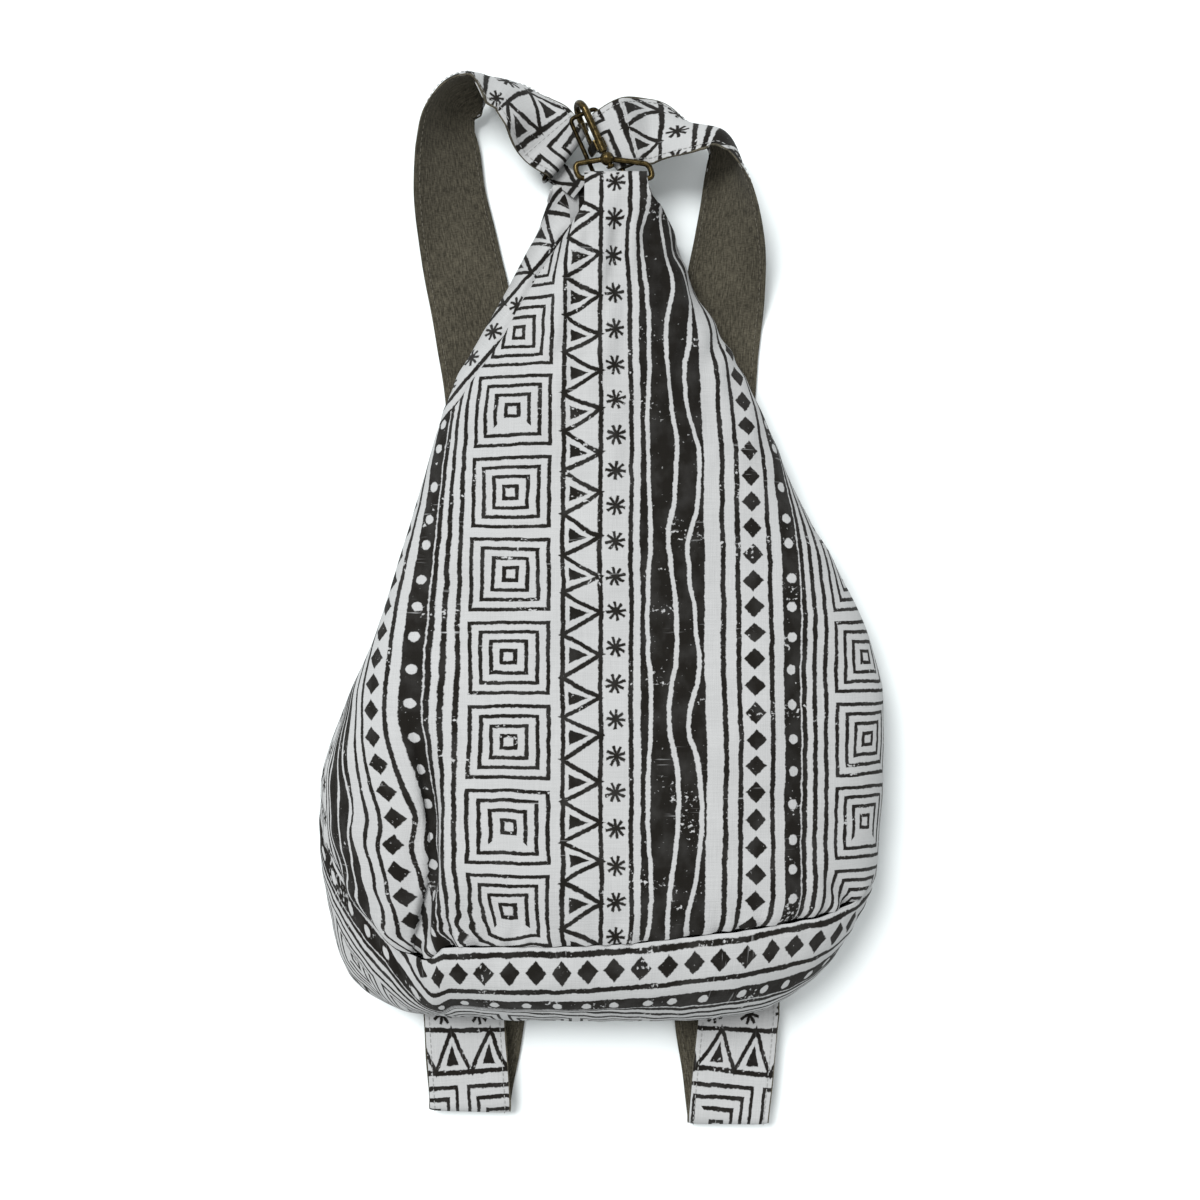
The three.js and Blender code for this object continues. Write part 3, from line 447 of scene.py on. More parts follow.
def zigzag(q, v):
    share = (v * (1 / ZIGZAG_PITCH)).wrap(1.0)
    bend = abs(share - 0.5) * 2
    line = ZIGZAG_TO - bend * (ZIGZAG_TO - ZIGZAG_FROM)
    stroke = abs(q - line) * ZIGZAG_LEAN - ZIGZAG_LINE
    narrowing = abs(share - 0.5) * (ZIGZAG_PITCH * (WEDGE_TO - WEDGE_FROM) / WEDGE_HALF)
    wedge = (WEDGE_FROM - q).most((q + narrowing - WEDGE_TO) * 0.43)
    return stroke.least(wedge)


def stars(q, v):
    # Toward the top of the cloth the block was set down a little further apart
    v = v - (v - STAR_SPREAD_FROM).most(0.0) * STAR_SPREAD
    x = q - STAR_AT
    y = v.wrap(STAR_PITCH) - STAR_PITCH / 2
    turn = y.sum("ARCTAN2", x) + cell_random(v.cell(STAR_PITCH)) * 1.6
    arm = (turn.wrap(math.pi / 4) - math.pi / 8).sum("SINE")
    reach = (x * x + y * y).sum("SQRT")
    return (abs(arm) * reach - STAR_ARM).most(reach - STAR_RADIUS)


def waved_band(q, v, sway):
    band = (BAND_FROM - q).most(q - BAND_TO)
    for centre, swing, length, half, phase in BAND_WAVES:
        bend = (v * (2 * math.pi / length) + sway * 3.2 + phase).sum("SINE") * swing
        band = band.most(half - abs(q - bend - centre))
    return band


def diamonds(q, v):
    x = abs(q - DIAMOND_AT) * (1 / DIAMOND_HALF_U)
    y = abs(v.wrap(DIAMOND_PITCH) - DIAMOND_PITCH / 2) * (1 / DIAMOND_HALF_V)
    return (x + y - 1) * (DIAMOND_HALF_U * 0.7)


def dotted_band(q, v):
    band = (DOTS_FROM - q).most(q - DOTS_TO)
    stray = cell_random(v.cell(DOT_PITCH)) * 5 - 2.5
    y = v.wrap(DOT_PITCH) - DOT_PITCH / 2 + stray
    x = q - (DOTS_FROM + DOTS_TO) / 2
    return band.most(DOT_RADIUS - (x * x + y * y).sum("SQRT"))


def two_tone(first, second, share):
    # Colour that goes from the first to the second as the share goes from 0 to 1
    blend = share.socket.id_data.nodes.new("ShaderNodeMix")
    blend.data_type = "RGBA"
    return feed(blend, {"A": first, "B": second, "Factor": share})["Result"]


def emboss(shader, height, strength, depth):
    # Fine relief on the surface, its depth in metres
    bump = shader.id_data.nodes.new("ShaderNodeBump")
    relief = feed(bump, {"Strength": strength, "Distance": depth, "Height": height})
    feed(shader, {"Normal": relief[0]})


def printed_cotton():
    material, shader = new_surface("printed_cotton", 0.92)
    tree = material.node_tree
    flat_u, flat_v = cloth_place(tree)
    sway = cloth_noise(flat_u, flat_v, 48, 60)
    wobble = cloth_noise(flat_u, flat_v, 9, 9) - 0.5
    u = flat_u + (sway - 0.5) * 2.4 + wobble * 1.2 + PRINT_START
    v = flat_v + (cloth_noise(flat_u + 300, flat_v, 40, 44) - 0.5) * 2.4 + wobble * 0.8
    q = u.wrap(PRINT_REPEAT)
    drawn = nested_squares(q, v)
    uneven = v + (sway - 0.5) * 9
    for shape in (
        zigzag(q, uneven), stars(q, v), waved_band(q, v, sway), diamonds(q, v), dotted_band(q, v),
    ):
        drawn = drawn.least(shape)
    for centre, half in PRINT_LINES:
        drawn = drawn.least(abs(q - centre) - half)
    ragged = (cloth_noise(flat_u, flat_v, 1.8, 1.8, 2) - 0.5) * 1.0
    ink = ((drawn + ragged) * -2.2 + 0.5).held()
    # Worn places: patches of specks, and streaks across the cloth where its creases rubbed
    tired = ((cloth_noise(flat_u, flat_v, 30, 18, 2) - 0.56) * 6).held()
    speck = cloth_noise(flat_u, flat_v, 2.4, 2.0, 3)
    specks = ((speck + tired * 0.19 - 0.735) * 9).held()
    faded = ((cloth_noise(flat_u + 90, flat_v, 11, 14, 3) - 0.42) * 0.11).held()
    crossing = ((cloth_noise(flat_u, flat_v, 60, 40) - 0.55) * 6).held()
    streak = ((cloth_noise(flat_u, flat_v + 50, 22, 1.8, 2) - 0.68) * 7).held() * crossing
    worn = specks.most(streak * 0.9).most(faded)
    ink = ink * (1 - worn)
    # Thicker and thinner yarns both ways
    yarn_u = cloth_noise(flat_u, flat_v, 16, 0.55) - 0.5
    yarn_v = cloth_noise(flat_u, flat_v, 0.55, 16) - 0.5
    cloudy = cloth_noise(flat_u, flat_v, 70, 70) - 0.5
    tone = (yarn_u + yarn_v) * 0.14 + cloudy * 0.1 + 1
    toned = tree.nodes.new("ShaderNodeVectorMath")
    toned.operation = "SCALE"
    coloured = feed(toned, {"Vector": two_tone(COTTON_COLOUR, INK_COLOUR, ink), "Scale": tone})
    weave_u = (flat_u * (2 * math.pi / YARN_PITCH)).sum("SINE")
    weave_v = (flat_v * (2 * math.pi / YARN_PITCH)).sum("SINE")
    height = weave_u * weave_v * 0.25 + (yarn_u + yarn_v) * 1.2 + cloth_noise(flat_u, flat_v, 6, 6) * 0.8
    emboss(shader, height, 0.35, 0.0004)
    feed(shader, {"Base Color": coloured[0], "Specular IOR Level": 0.12, "Sheen Weight": 0.03})
    return material


cotton = printed_cotton()
front_angles = even_angles(FRONT_COLUMNS)
front_rows = np.linspace(SEAM_Y, BEFORE_BAR_Y, FRONT_ROWS + 1)


def belly_relief(grid, row_start):
    # Puckers along the base seam, the left lobe lapping over its crease, and soft rumples all over
    x, y = grid[..., 0], grid[..., 1]
    from_seam = (row_start - SEAM_Y)[:, None]
    pucker = np.exp(-from_seam / 11) * np.sin(2 * np.pi * x / 15 + 3 * soft_noise(x, y, 60, 4))
    pleats = np.exp(-((x + 76) / 20) ** 2 - from_seam / 22) * np.sin(2 * np.pi * (x + 0.25 * from_seam) / 11)
    rumple = 1.1 * soft_noise(x, y, 85, 5) + 0.55 * soft_noise(x, y, 34, 6)
    turned_in = np.exp(-((from_seam / 2.2) ** 2))
    past = x - lap_x(y)
    lap = np.exp(np.minimum(past, 0) / 22) * (1 - smooth_step(past, -0.5, 2.5))
    trough = np.exp(-(((past - 5) / 4.5) ** 2))
    crease = lap_height(y) * (0.6 * lap - 0.75 * trough)
    tuck = TUCK_DEPTH * np.exp(-(((x - 128) + 0.7 * (y + 160)) / 5) ** 2 - ((y + 160) / 14) ** 2)
    side_fold = SIDE_FOLD_DEPTH * np.exp(-(((x - 105 + 0.05 * (y + 100)) / 5) ** 2))
    side_fold = side_fold * smooth_step(-y, -10, 40)
    pulls = smooth_step(y, 20, 150) * np.sin(2 * np.pi * (x - 0.25 * y) / 17 + 2 * soft_noise(x, y, 70, 12))
    gathered = PUCKER_DEPTH * pucker + PLEAT_DEPTH * pleats + rumple - TURNED_IN_DEPTH * turned_in
    return gathered + crease - tuck - side_fold + PULL_DEPTH * pulls


def row_lengths(grid):
    steps = np.linalg.norm(np.diff(grid, axis=1), axis=-1)
    return np.concatenate([np.zeros((len(grid), 1)), np.cumsum(steps, axis=1)], axis=1)


def across_lengths(grid):
    # Length along each row of the cloth, counted from where it crosses the middle of the bag
    length = row_lengths(grid)
    zero = [np.interp(0, row[:, 0], along) for row, along in zip(grid, length)]
    return length - np.array(zero)[:, None]


def front_edges(y):
    # The left edge follows the fold up the neck, and the right one closes in to the hem
    left, right = outline(y)
    fold = np.maximum(left, mix(left, neck_fold_x(y), smooth_step(y, FOLD_FOOT_Y, FOLD_FOOT_Y + 16)))
    return fold, mix(right, HEM_RIGHT, smooth_step(y, HEM_FLAT_Y, EYE_BAR_Y))


from_x, to_x = front_edges(front_rows[:, None])
belly = front_point(front_rows[:, None], angles_between(front_rows[:, None], from_x, to_x))
edge_fade = np.minimum(1, np.minimum(np.arange(FRONT_COLUMNS + 1), np.arange(FRONT_COLUMNS, -1, -1)) / 6)
belly = belly + (belly_relief(belly, front_rows) * edge_fade)[..., None] * grid_normals(belly)
rolled = FOLD_ROLL * np.exp(-(belly[..., 0] - from_x) / FOLD_ROLL)
belly[..., 2] -= rolled * smooth_step(belly[..., 1], FOLD_FOOT_Y, NECK_Y)
belly_u = across_lengths(belly)
# The lobe's edge slides over the trough beside it
past_lap = belly[..., 0] - lap_x(belly[..., 1])
slid = np.exp(np.minimum(past_lap, 0) / 9) * (1 - smooth_step(past_lap, 0, 4))
belly[..., 0] += 0.55 * lap_height(belly[..., 1]) * slid
belly_x, belly_y = belly[..., 0], belly[..., 1]
hem_x = mix(HEM_LEFT, HEM_RIGHT, (belly_x[-1] - from_x[-1]) / (to_x[-1] - from_x[-1]))
hem_turns = np.linspace(np.pi / 2, -np.pi / 2, HEM_ROWS + 1)
hem_under = crown(MOUTH_TOP_Y) - 3.5
hem_path = [(EYE_BAR_Y + HEM_RADIUS * np.cos(t), HOOK_Z + HEM_RADIUS * np.sin(t)) for t in hem_turns]
hem_path += [(BEFORE_BAR_Y, (HOOK_Z - HEM_RADIUS + hem_under) / 2), (MOUTH_TOP_Y + 1.6, hem_under)]
hem = np.array([[(x, y, z) for x in hem_x] for y, z in hem_path])
front_grid = np.concatenate([belly, hem])
# The print follows the lobe's slide, and bunches and pleats where the seam draws it in
lobe_shift = profile(LOBE_SHIFT)(belly_y) * (1 - smooth_step(past_lap, -22, 42))
above_seam = (front_rows - SEAM_Y)[:, None]
near_seam = np.exp(-above_seam / 24) * (1 - smooth_step(belly_x, -50, -10))
bunched = [3.4 * near_seam * soft_noise(belly_x, belly_y, 40, seed) for seed in (31, 32)]
pleat_fade = np.exp(-(((belly_x + 76) / 13) ** 2) - above_seam / 13)
pleated = pleat_fade * np.sin(2 * np.pi * (above_seam + belly_x / 2) / 9)
front_u = np.concatenate([
    belly_u + lobe_shift + bunched[0] + 2.4 * pleated, np.broadcast_to(hem_x, hem.shape[:2]),
])
hem_start = (BEFORE_BAR_Y, crown(BEFORE_BAR_Y))
hem_lengths = np.cumsum(np.hypot(*np.diff(np.array([hem_start] + hem_path), axis=0).T))
hem_v = np.broadcast_to((BEFORE_BAR_Y + hem_lengths)[:, None], hem.shape[:2])
front_v = np.concatenate([belly_y + bunched[1], hem_v])
front_panel = cloth_piece("bag_front", front_grid, np.stack([front_u, front_v], -1), CLOTH_WALL, cotton)
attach(front_panel, "bag")
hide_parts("front_panel")


# Back's forward wrap
# The back cloth comes round the left of the neck and lies under the front's folded edge, so a strip
# of its slanting print shows. Above the fold it stands free, and the mouth is the dark slit beside it.
WRAP_FOOT_Y = 92
WRAP_TOP_Y = 221
WRAP_INNER = [
    (WRAP_FOOT_Y, -78), (115, -63), (137, -47), (158, -36), (179, -24), (193, -17), (203, -17.5),
    (212, -19), (WRAP_TOP_Y, -21.5),
]
WRAP_DROP = 2.2
WRAP_ROWS = 90
STRIP_PLACE = np.array([-31.3, 182.3])
STRIP_ACROSS = np.array([0.73, -0.68])
STRIP_UP = np.array([0.68, 0.73])
STRIP_SCALE = 1.15
wrap_rows = np.linspace(WRAP_FOOT_Y, WRAP_TOP_Y, WRAP_ROWS + 1)[:, None]
wrap_inner = profile(WRAP_INNER)(wrap_rows)
wrap_grid = front_point(wrap_rows, angles_between(wrap_rows, outline(wrap_rows)[0], wrap_inner))
wrap_x, wrap_y = wrap_grid[..., 0], wrap_grid[..., 1]
tucked = smooth_step(wrap_x - neck_fold_x(wrap_y), -4, 1) * (1 - smooth_step(wrap_y, 196, 206))
free_lip = np.exp(-(wrap_inner - wrap_x) / 3) * smooth_step(wrap_y, 198, 206)
wrap_relief = 0.6 * soft_noise(wrap_x, wrap_y, 24, 21) - WRAP_DROP * tucked - 2.5 * free_lip
wrap_grid = wrap_grid + wrap_relief[..., None] * grid_normals(wrap_grid)
from_strip = wrap_grid[..., :2] - STRIP_PLACE
wrap_place = np.stack([STRIP_SCALE * (from_strip @ STRIP_ACROSS), from_strip @ STRIP_UP], -1)
back_wrap = cloth_piece("bag_back_wrap", wrap_grid, wrap_place, CLOTH_WALL, cotton)
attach(back_wrap, "bag")


# Base panel
# A strip of the same cloth that closes the bottom of the bag. It is sewn to the front along a seam
# that climbs up the left side, and rolls under to the back's lower edge.
BASE_Y = -233
BASE_LEFT = -107
BASE_RIGHT = 97
BASE_LEFT_CORNER = 6
BASE_RIGHT_CORNER = 9
BASE_EDGE_Z = 13.5
BASE_LEFT_ROUND = 2.5
BASE_RIGHT_ROUND = 1.35
BASE_SEAM_GAP = 0.9
BASE_ROWS = 70
BASE_PRINT_START = 143
BASE_PRINT_SCALE = 1.2
BASE_TUCK = 26
BASE_BUNCH = 0.35
BASE_BUNCH_FROM = 27
BASE_FOLD = 15


def base_plan(start, across, phi):
    # Full in the middle and at the left, cut away more toward the right corner
    power = 2 / mix(BASE_LEFT_ROUND, BASE_RIGHT_ROUND, smooth_step(across, 0.45, 0.95))
    keep = np.maximum(np.cos(phi), 0) ** (2 / BASE_LEFT_ROUND)
    side_keep = np.maximum(np.cos(phi), 0) ** power
    gone = np.sin(phi) ** power
    end_x = between(BASE_LEFT, BASE_RIGHT, across)
    end_y = BASE_Y + np.where(across < 0, BASE_LEFT_CORNER, BASE_RIGHT_CORNER) * across**6
    return mix(end_x, start[..., 0], side_keep), mix(start[..., 1], end_y, gone), keep


def base_seam_height(start, phi):
    return mix(seam_height(start[..., 1]), BASE_EDGE_Z, np.sin(phi))


base_phi = np.linspace(np.pi / 2, 0, BASE_ROWS + 1)[:, None]
base_start = front_point(np.full((1, 1), SEAM_Y), front_angles[None, :])
base_across = section(front_angles)[0][None, :]
base_x, base_y, base_keep = base_plan(base_start, base_across, base_phi)
base_edge = base_seam_height(base_start, base_phi) + SEAM_GAP / 2
base_lift = base_start[..., 2] - seam_height(base_start[..., 1]) - SEAM_GAP / 2
base_grid = np.stack([base_x, base_y - BASE_SEAM_GAP / 2, base_edge + base_lift * base_keep], -1)
base_steps = np.linalg.norm(np.diff(base_grid, axis=0), axis=-1)
base_down = np.cumsum(base_steps[::-1], axis=0)[::-1]
base_down = np.concatenate([base_down, np.zeros((1, FRONT_COLUMNS + 1))])
base_along = across_lengths(base_grid[-1:])
base_pucker = np.exp(-base_down / 9) * np.sin(2 * np.pi * base_x / 17 + 3 * soft_noise(base_x, base_y, 50, 9))
base_rumple = 1.0 * soft_noise(base_x, base_y, 60, 10) + 0.4 * soft_noise(base_x, base_y, 22, 11)
base_turned = np.exp(-((base_down / 2.2) ** 2))
base_relief = (0.8 * base_pucker + base_rumple - 1.1 * base_turned) * edge_fade
base_relief *= np.minimum(1, np.arange(BASE_ROWS + 1) / 5)[:, None]
base_grid = base_grid + base_relief[..., None] * grid_normals(base_grid)
base_tucked = BASE_TUCK * (1 - smooth_step(base_start[..., 0], -116, -84))
# Below the diamonds the left half is drawn together, and a fold hides the plain lines
base_bunched = BASE_BUNCH * np.maximum(base_down - BASE_BUNCH_FROM, 0)
base_bunched = base_bunched + BASE_FOLD * smooth_step(base_down, 38, 43)
base_bunched = base_bunched * (1 - smooth_step(base_x, -60, 55))
base_place = np.stack([
    BASE_PRINT_START - PRINT_START + base_tucked + (base_down + base_bunched) / BASE_PRINT_SCALE,
    np.broadcast_to(base_along, base_down.shape),
], -1)
base_panel = cloth_piece("bag_base", base_grid, base_place, CLOTH_WALL, cotton)
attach(base_panel, "bag")
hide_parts("bottom_panel")


# Back panel
# The side that lies on the straps: the same cloth, flat in the middle, its rim curving up to the
# seams. Its top edge stands free at the mouth.
STRAP_PLY = 1.0
STRAP_MID = STRAP_PLY + SEAM_GAP / 2
STRAP_THICKNESS = 2 * STRAP_PLY + SEAM_GAP
STRAP_CLEARANCE = 0.4
BACK_Z = STRAP_THICKNESS + STRAP_CLEARANCE
BACK_FLAT = 0.72
BACK_TOP_Y = 231
BACK_TOP_Z = 8.5
BACK_COLUMNS = 120
BACK_PRINT_AT = 40


def back_dip(across):
    past = np.maximum(np.abs(across) - BACK_FLAT, 0) / (1 - BACK_FLAT)
    return np.sqrt(np.maximum(1 - past * past, 0))


def back_floor(y):
    return mix(BACK_Z, BACK_TOP_Z, smooth_step(y, NECK_Y, BACK_TOP_Y))


def back_row_point(y, across):
    here = row_y(y, across)
    edge = np.maximum(seam_height(here), back_floor(here)) - SEAM_GAP / 2
    z = edge - (edge - back_floor(here)) * back_dip(across)
    return np.stack([between(*outline(here), across), here, z], -1)


rim_turns = np.linspace(0, np.pi / 2, BACK_COLUMNS // 4 + 1)[1:]
back_level = np.linspace(0, BACK_FLAT, BACK_COLUMNS // 4 + 1)
back_half = np.concatenate([back_level, mix(BACK_FLAT, 1, np.sin(rim_turns))])
back_across = np.concatenate([back_half[:0:-1], -back_half])[None, :]
back_start = back_row_point(np.full((1, 1), float(SEAM_Y)), back_across)
back_phi = base_phi[:-1]
back_x, back_y, back_keep = base_plan(back_start, back_across, back_phi)
back_edge = base_seam_height(back_start, back_phi) - SEAM_GAP / 2
back_lower = np.stack([
    back_x, back_y - BASE_SEAM_GAP, back_edge - (back_edge - BACK_Z) * back_dip(back_across) * back_keep,
], -1)
back_rows = np.linspace(SEAM_Y, BACK_TOP_Y, FRONT_ROWS + 1)[:, None]
back_grid = np.concatenate([back_lower, back_row_point(back_rows, back_across)])
back_lengths = row_lengths(back_grid)
back_middle = back_lengths[:, BACK_COLUMNS // 2, None]
back_place = np.stack([back_lengths - back_middle + BACK_PRINT_AT, back_grid[..., 1]], -1)
back_panel = cloth_piece("bag_back", back_grid, back_place, CLOTH_WALL, cotton)
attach(back_panel, "bag")
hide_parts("back_panel")


# Straps
# Two bands of the printed cloth lined with grey chambray, turned through and topstitched along both
# edges. Each is sewn into the base, loops under the bag, twists over above it and ends on a ring.
STRAP_WIDTH = 45
STRAP_END_WIDTH = 34
STRAP_TAIL = 16
STRAP_TURN = 10
STRAP_SEAM = 11
STRAP_TAPER_STOPS = 4
STRAP_WALL = 0.8
STRAP_EDGE_DROP = 0.7
LEFT_SEWN_X = -76
LEFT_LOOP = (-73, -289)
RIGHT_SEWN_X = 76.5
RIGHT_LOOP = (71, -296)
LEFT_STRAP_WAY = [
    (-64, -225, 0, 0), (-60, -130, 0, 0), (-62, 0, 0, 0), (-64, 100, 0, 0), (-70, 145, 0, 0),
    (-78, 187, 14, 0), (-84, 221, 31, 0), (-86, 246, 42, 0), (-86.5, 261, 53, 1), (-82, 273.5, 63, 2),
    (-71, 279.5, 68, 2), (-61, 280.5, 116, 2), (-49, 276.5, 126, 4), (-40, 267, 140, 10),
]
RIGHT_STRAP_WAY = [
    (63, -225, 0, 0), (60, -130, 0, 0), (62, 0, 0, 0), (64, 109, 0, 0), (67, 148, 0, 0),
    (70, 176, 16, 1), (71.5, 198, 36, 2), (72, 224, 56, 3), (70, 240, 74, 4), (65, 248.5, 92, 6),
    (57, 252, 110, 8), (44, 253.5, 131, 11), (28, 254.5, 160, 18.5),
]
RING_WIRE = 2.5
FOLD_RADIUS = RING_WIRE / 2 + 0.5 + STRAP_MID
HOOK_PLACE = np.array([3.3, 236.2, HOOK_Z])
HOOK_TURN = math.radians(24)
HOOK_RIGHT = np.array([math.cos(HOOK_TURN), math.sin(HOOK_TURN), 0])
HOOK_AHEAD = np.array([-math.sin(HOOK_TURN), math.cos(HOOK_TURN), 0])
UP = np.array([0.0, 0.0, 1.0])
RIGHT_RING_BAR = HOOK_PLACE + 6.2 * HOOK_RIGHT + 9.75 * HOOK_AHEAD - 6.5 * UP
RIGHT_RING_ALONG = -HOOK_RIGHT
LEFT_RING_BAR = np.array([-19.8, 245.3, 17.5])
LEFT_RING_TURN = math.radians(52)
LEFT_RING_ALONG = np.array([math.sin(LEFT_RING_TURN), -math.cos(LEFT_RING_TURN), 0])
STRAP_STEPS = 16
STRAP_COLUMNS = 18
STRAP_CURL = 2.6
STRAP_CURL_SPREAD = 38
LOOP_STEPS = 30
FOLD_STEPS = 14
STRAP_PRINT_AT = 80
STRAP_END_V = 260
STRAP_PRINT_PACE = 0.87
CHAMBRAY_DARK = (0.026, 0.0235, 0.0165, 1)
CHAMBRAY_PALE = (0.088, 0.08, 0.058, 1)


def unit(vector):
    return np.asarray(vector, float) / np.linalg.norm(vector)


def strap_course(places, count):
    # Centripetal curve through the places, and its heading, at evenly stepped stops
    points = np.array(places, float)
    points = np.vstack([2 * points[0] - points[1], points, 2 * points[-1] - points[-2]])
    spots, headings = [], []
    for stop in np.linspace(0, len(places) - 1, count):
        k = min(int(stop), len(places) - 2)
        t = stop - k
        p0, p1, p2, p3 = points[k:k + 4]
        d0, d1, d2 = (np.linalg.norm(b - a) ** 0.5 for a, b in ((p0, p1), (p1, p2), (p2, p3)))
        m1 = d1 * ((p1 - p0) / d0 - (p2 - p0) / (d0 + d1) + (p2 - p1) / d1)
        m2 = d1 * ((p2 - p1) / d1 - (p3 - p1) / (d1 + d2) + (p3 - p2) / d2)
        c2 = -3 * p1 + 3 * p2 - 2 * m1 - m2
        c3 = 2 * p1 - 2 * p2 + m1 + m2
        spots.append(p1 + m1 * t + c2 * t * t + c3 * t**3)
        headings.append(unit(m1 + 2 * c2 * t + 3 * c3 * t * t))
    return np.array(spots), np.array(headings)


def strap_frames(sewn_x, loop, stops, ring_bar, ring_along, roll):
    # Centre, width direction, printed side, width and curl of the band, all along it
    frames = []
    loop_x, loop_y = loop
    loop_radius = (BASE_EDGE_Z - STRAP_MID) / 2
    bend_y = loop_y + loop_radius + STRAP_THICKNESS / 2
    sewn_y = BASE_Y - BASE_SEAM_GAP - SEAM_GAP
    inside_y = sewn_y + STRAP_SEAM
    down_side = unit((sewn_y - bend_y, loop_x - sewn_x, 0))
    under_side = unit((stops[0][1] - bend_y, loop_x - stops[0][0], 0))
    frames.append((np.array([sewn_x, inside_y, BASE_EDGE_Z]), np.array([1.0, 0, 0]), UP, STRAP_WIDTH, 0))
    for share in np.linspace(0, 1, 12):
        centre = np.array([mix(sewn_x, loop_x, share), mix(sewn_y, bend_y, share), BASE_EDGE_Z])
        side = unit(mix(np.array([1.0, 0, 0]), down_side, smooth_step(share, 0, 0.5)))
        frames.append((centre, side, UP, STRAP_WIDTH, 0))
    for share in np.linspace(0, 1, LOOP_STEPS)[1:]:
        turn = np.pi * (share + 0.5)
        side = unit(mix(down_side, under_side, share))
        out = np.cos(turn) * np.cross(UP, side) + np.sin(turn) * UP
        centre = np.array([loop_x, bend_y, STRAP_MID + loop_radius]) + loop_radius * out
        frames.append((centre, side, out, STRAP_WIDTH, 0))
    end_lift = ring_bar[2] + FOLD_RADIUS - STRAP_MID
    approach = ring_bar - STRAP_TAIL * ring_along
    way = [(loop_x, bend_y, 0, 0), *stops]
    straight = ring_bar - STRAP_TURN * ring_along
    way += [(straight[0], straight[1], 180, end_lift), (ring_bar[0], ring_bar[1], 180, end_lift)]
    spans = len(way) - 1
    indexed = [(k, *stop) for k, stop in enumerate(way)]
    tilt, lift = profile(indexed, 3), profile(indexed, 4)
    taper_at = spans - STRAP_TAPER_STOPS
    narrowing = profile([(0, STRAP_WIDTH), (taper_at, STRAP_WIDTH), (spans, STRAP_END_WIDTH)])
    count = spans * STRAP_STEPS + 1
    spots, headings = strap_course([stop[:2] for stop in way], count)
    for place, spot, heading in list(zip(np.linspace(0, spans, count), spots, headings))[1:-1]:
        turned = float(tilt(place))
        angle = math.radians(turned)
        curl = STRAP_CURL * math.exp(-(((turned - 90) / STRAP_CURL_SPREAD) ** 2))
        width = float(narrowing(place))
        z = STRAP_MID + float(lift(place)) + width / 2 * math.sin(angle)
        ahead = np.array([heading[0], heading[1], 0])
        side = math.cos(angle) * np.array([heading[1], -heading[0], 0]) + roll * math.sin(angle) * UP
        frames.append((np.array([spot[0], spot[1], z]), side, np.cross(ahead, side), width, curl))
    fold_side = np.cross(UP, ring_along)
    for turn in np.linspace(np.pi / 2, -np.pi / 2, FOLD_STEPS):
        out = math.cos(turn) * ring_along + math.sin(turn) * UP
        frames.append((ring_bar + FOLD_RADIUS * out, fold_side, out, STRAP_END_WIDTH, 0))
    frames.append((approach - FOLD_RADIUS * UP, fold_side, -UP, STRAP_END_WIDTH, 0))
    return [np.array(column) for column in zip(*frames)]


def strap_lengths(centres):
    return np.concatenate([[0], np.cumsum(np.linalg.norm(np.diff(centres, axis=0), axis=1))])


def strap_points(frames, across, half, height):
    # Points on the band's curled section, across from edge to edge and this high above its middle
    centres, sides, faces, _, curls = frames
    curl = np.maximum(curls, 0.001)[:, None]
    bend = curl / 2 * across
    radius = 2 * half / curl
    rise = radius * (np.cos(bend) - np.sinc(curl / (2 * np.pi))) + height * np.cos(bend)
    reach = (radius + height) * np.sin(bend)
    return centres[:, None, :] + reach[..., None] * sides[:, None, :] + rise[..., None] * faces[:, None, :]


def strap_ply(name, frames, side_sign, print_place, material):
    # One ply: side_sign 1 is the printed outer side, -1 the lining, whose edges come round a little
    length = strap_lengths(frames[0])[:, None]
    across = -side_sign * np.linspace(-1, 1, STRAP_COLUMNS + 1)[None, :]
    half = (frames[3] / 2 - 0.15 - 0.35 * side_sign)[:, None]
    half = half * (1 + 0.012 * soft_noise(length, 40 * across, 46, len(name)))
    height = side_sign * (STRAP_MID - STRAP_EDGE_DROP * np.abs(across) ** 8)
    grid = strap_points(frames, across, half, height)
    place = print_place(length, (frames[3] / 2)[:, None] * across)
    made = cloth_piece(name, grid, place, STRAP_WALL, material)
    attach(made, "bag")
    return made


def chambray():
    # Dark and pale yarns crossed, so that the lining looks a flecked grey
    material, shader = new_surface("chambray_cotton", 0.95)
    u, v = cloth_place(material.node_tree)
    warp = cloth_noise(u, v, 5.0, 0.75, 3)
    weft = cloth_noise(u, v, 0.75, 2.2, 3)
    patch = cloth_noise(u, v, 60, 30) - 0.5
    fleck = ((warp - 0.5) * 1.9 + (weft - 0.5) * 1.1 + patch * 0.6 + 0.45).held()
    flecked = two_tone(CHAMBRAY_DARK, CHAMBRAY_PALE, fleck)
    emboss(shader, warp + weft, 0.4, 0.0004)
    feed(shader, {"Base Color": flecked, "Specular IOR Level": 0.15, "Sheen Weight": 0.04})
    return material


lining_cloth = chambray()
left_strap_frames = strap_frames(
    LEFT_SEWN_X, LEFT_LOOP, LEFT_STRAP_WAY, LEFT_RING_BAR, LEFT_RING_ALONG, -1,
)
right_strap_frames = strap_frames(
    RIGHT_SEWN_X, RIGHT_LOOP, RIGHT_STRAP_WAY, RIGHT_RING_BAR, RIGHT_RING_ALONG, 1,
)


def strap_print(total, end_q, start_v):
    # The print stands at STRAP_PRINT_AT where the strap leaves the base, and at end_q where it ends
    def place(length, across):
        settled = smooth_step(length, 0.25 * total, 0.65 * total)
        late = (end_q - (STRAP_PRINT_AT + STRAP_PRINT_PACE * (STRAP_SEAM - total))) % PRINT_REPEAT
        q = STRAP_PRINT_AT + STRAP_PRINT_PACE * (STRAP_SEAM - length) + late * settled
        v = across + mix(start_v, STRAP_END_V, settled)
        return np.stack(np.broadcast_arrays(q - PRINT_START, v), -1)
    return place


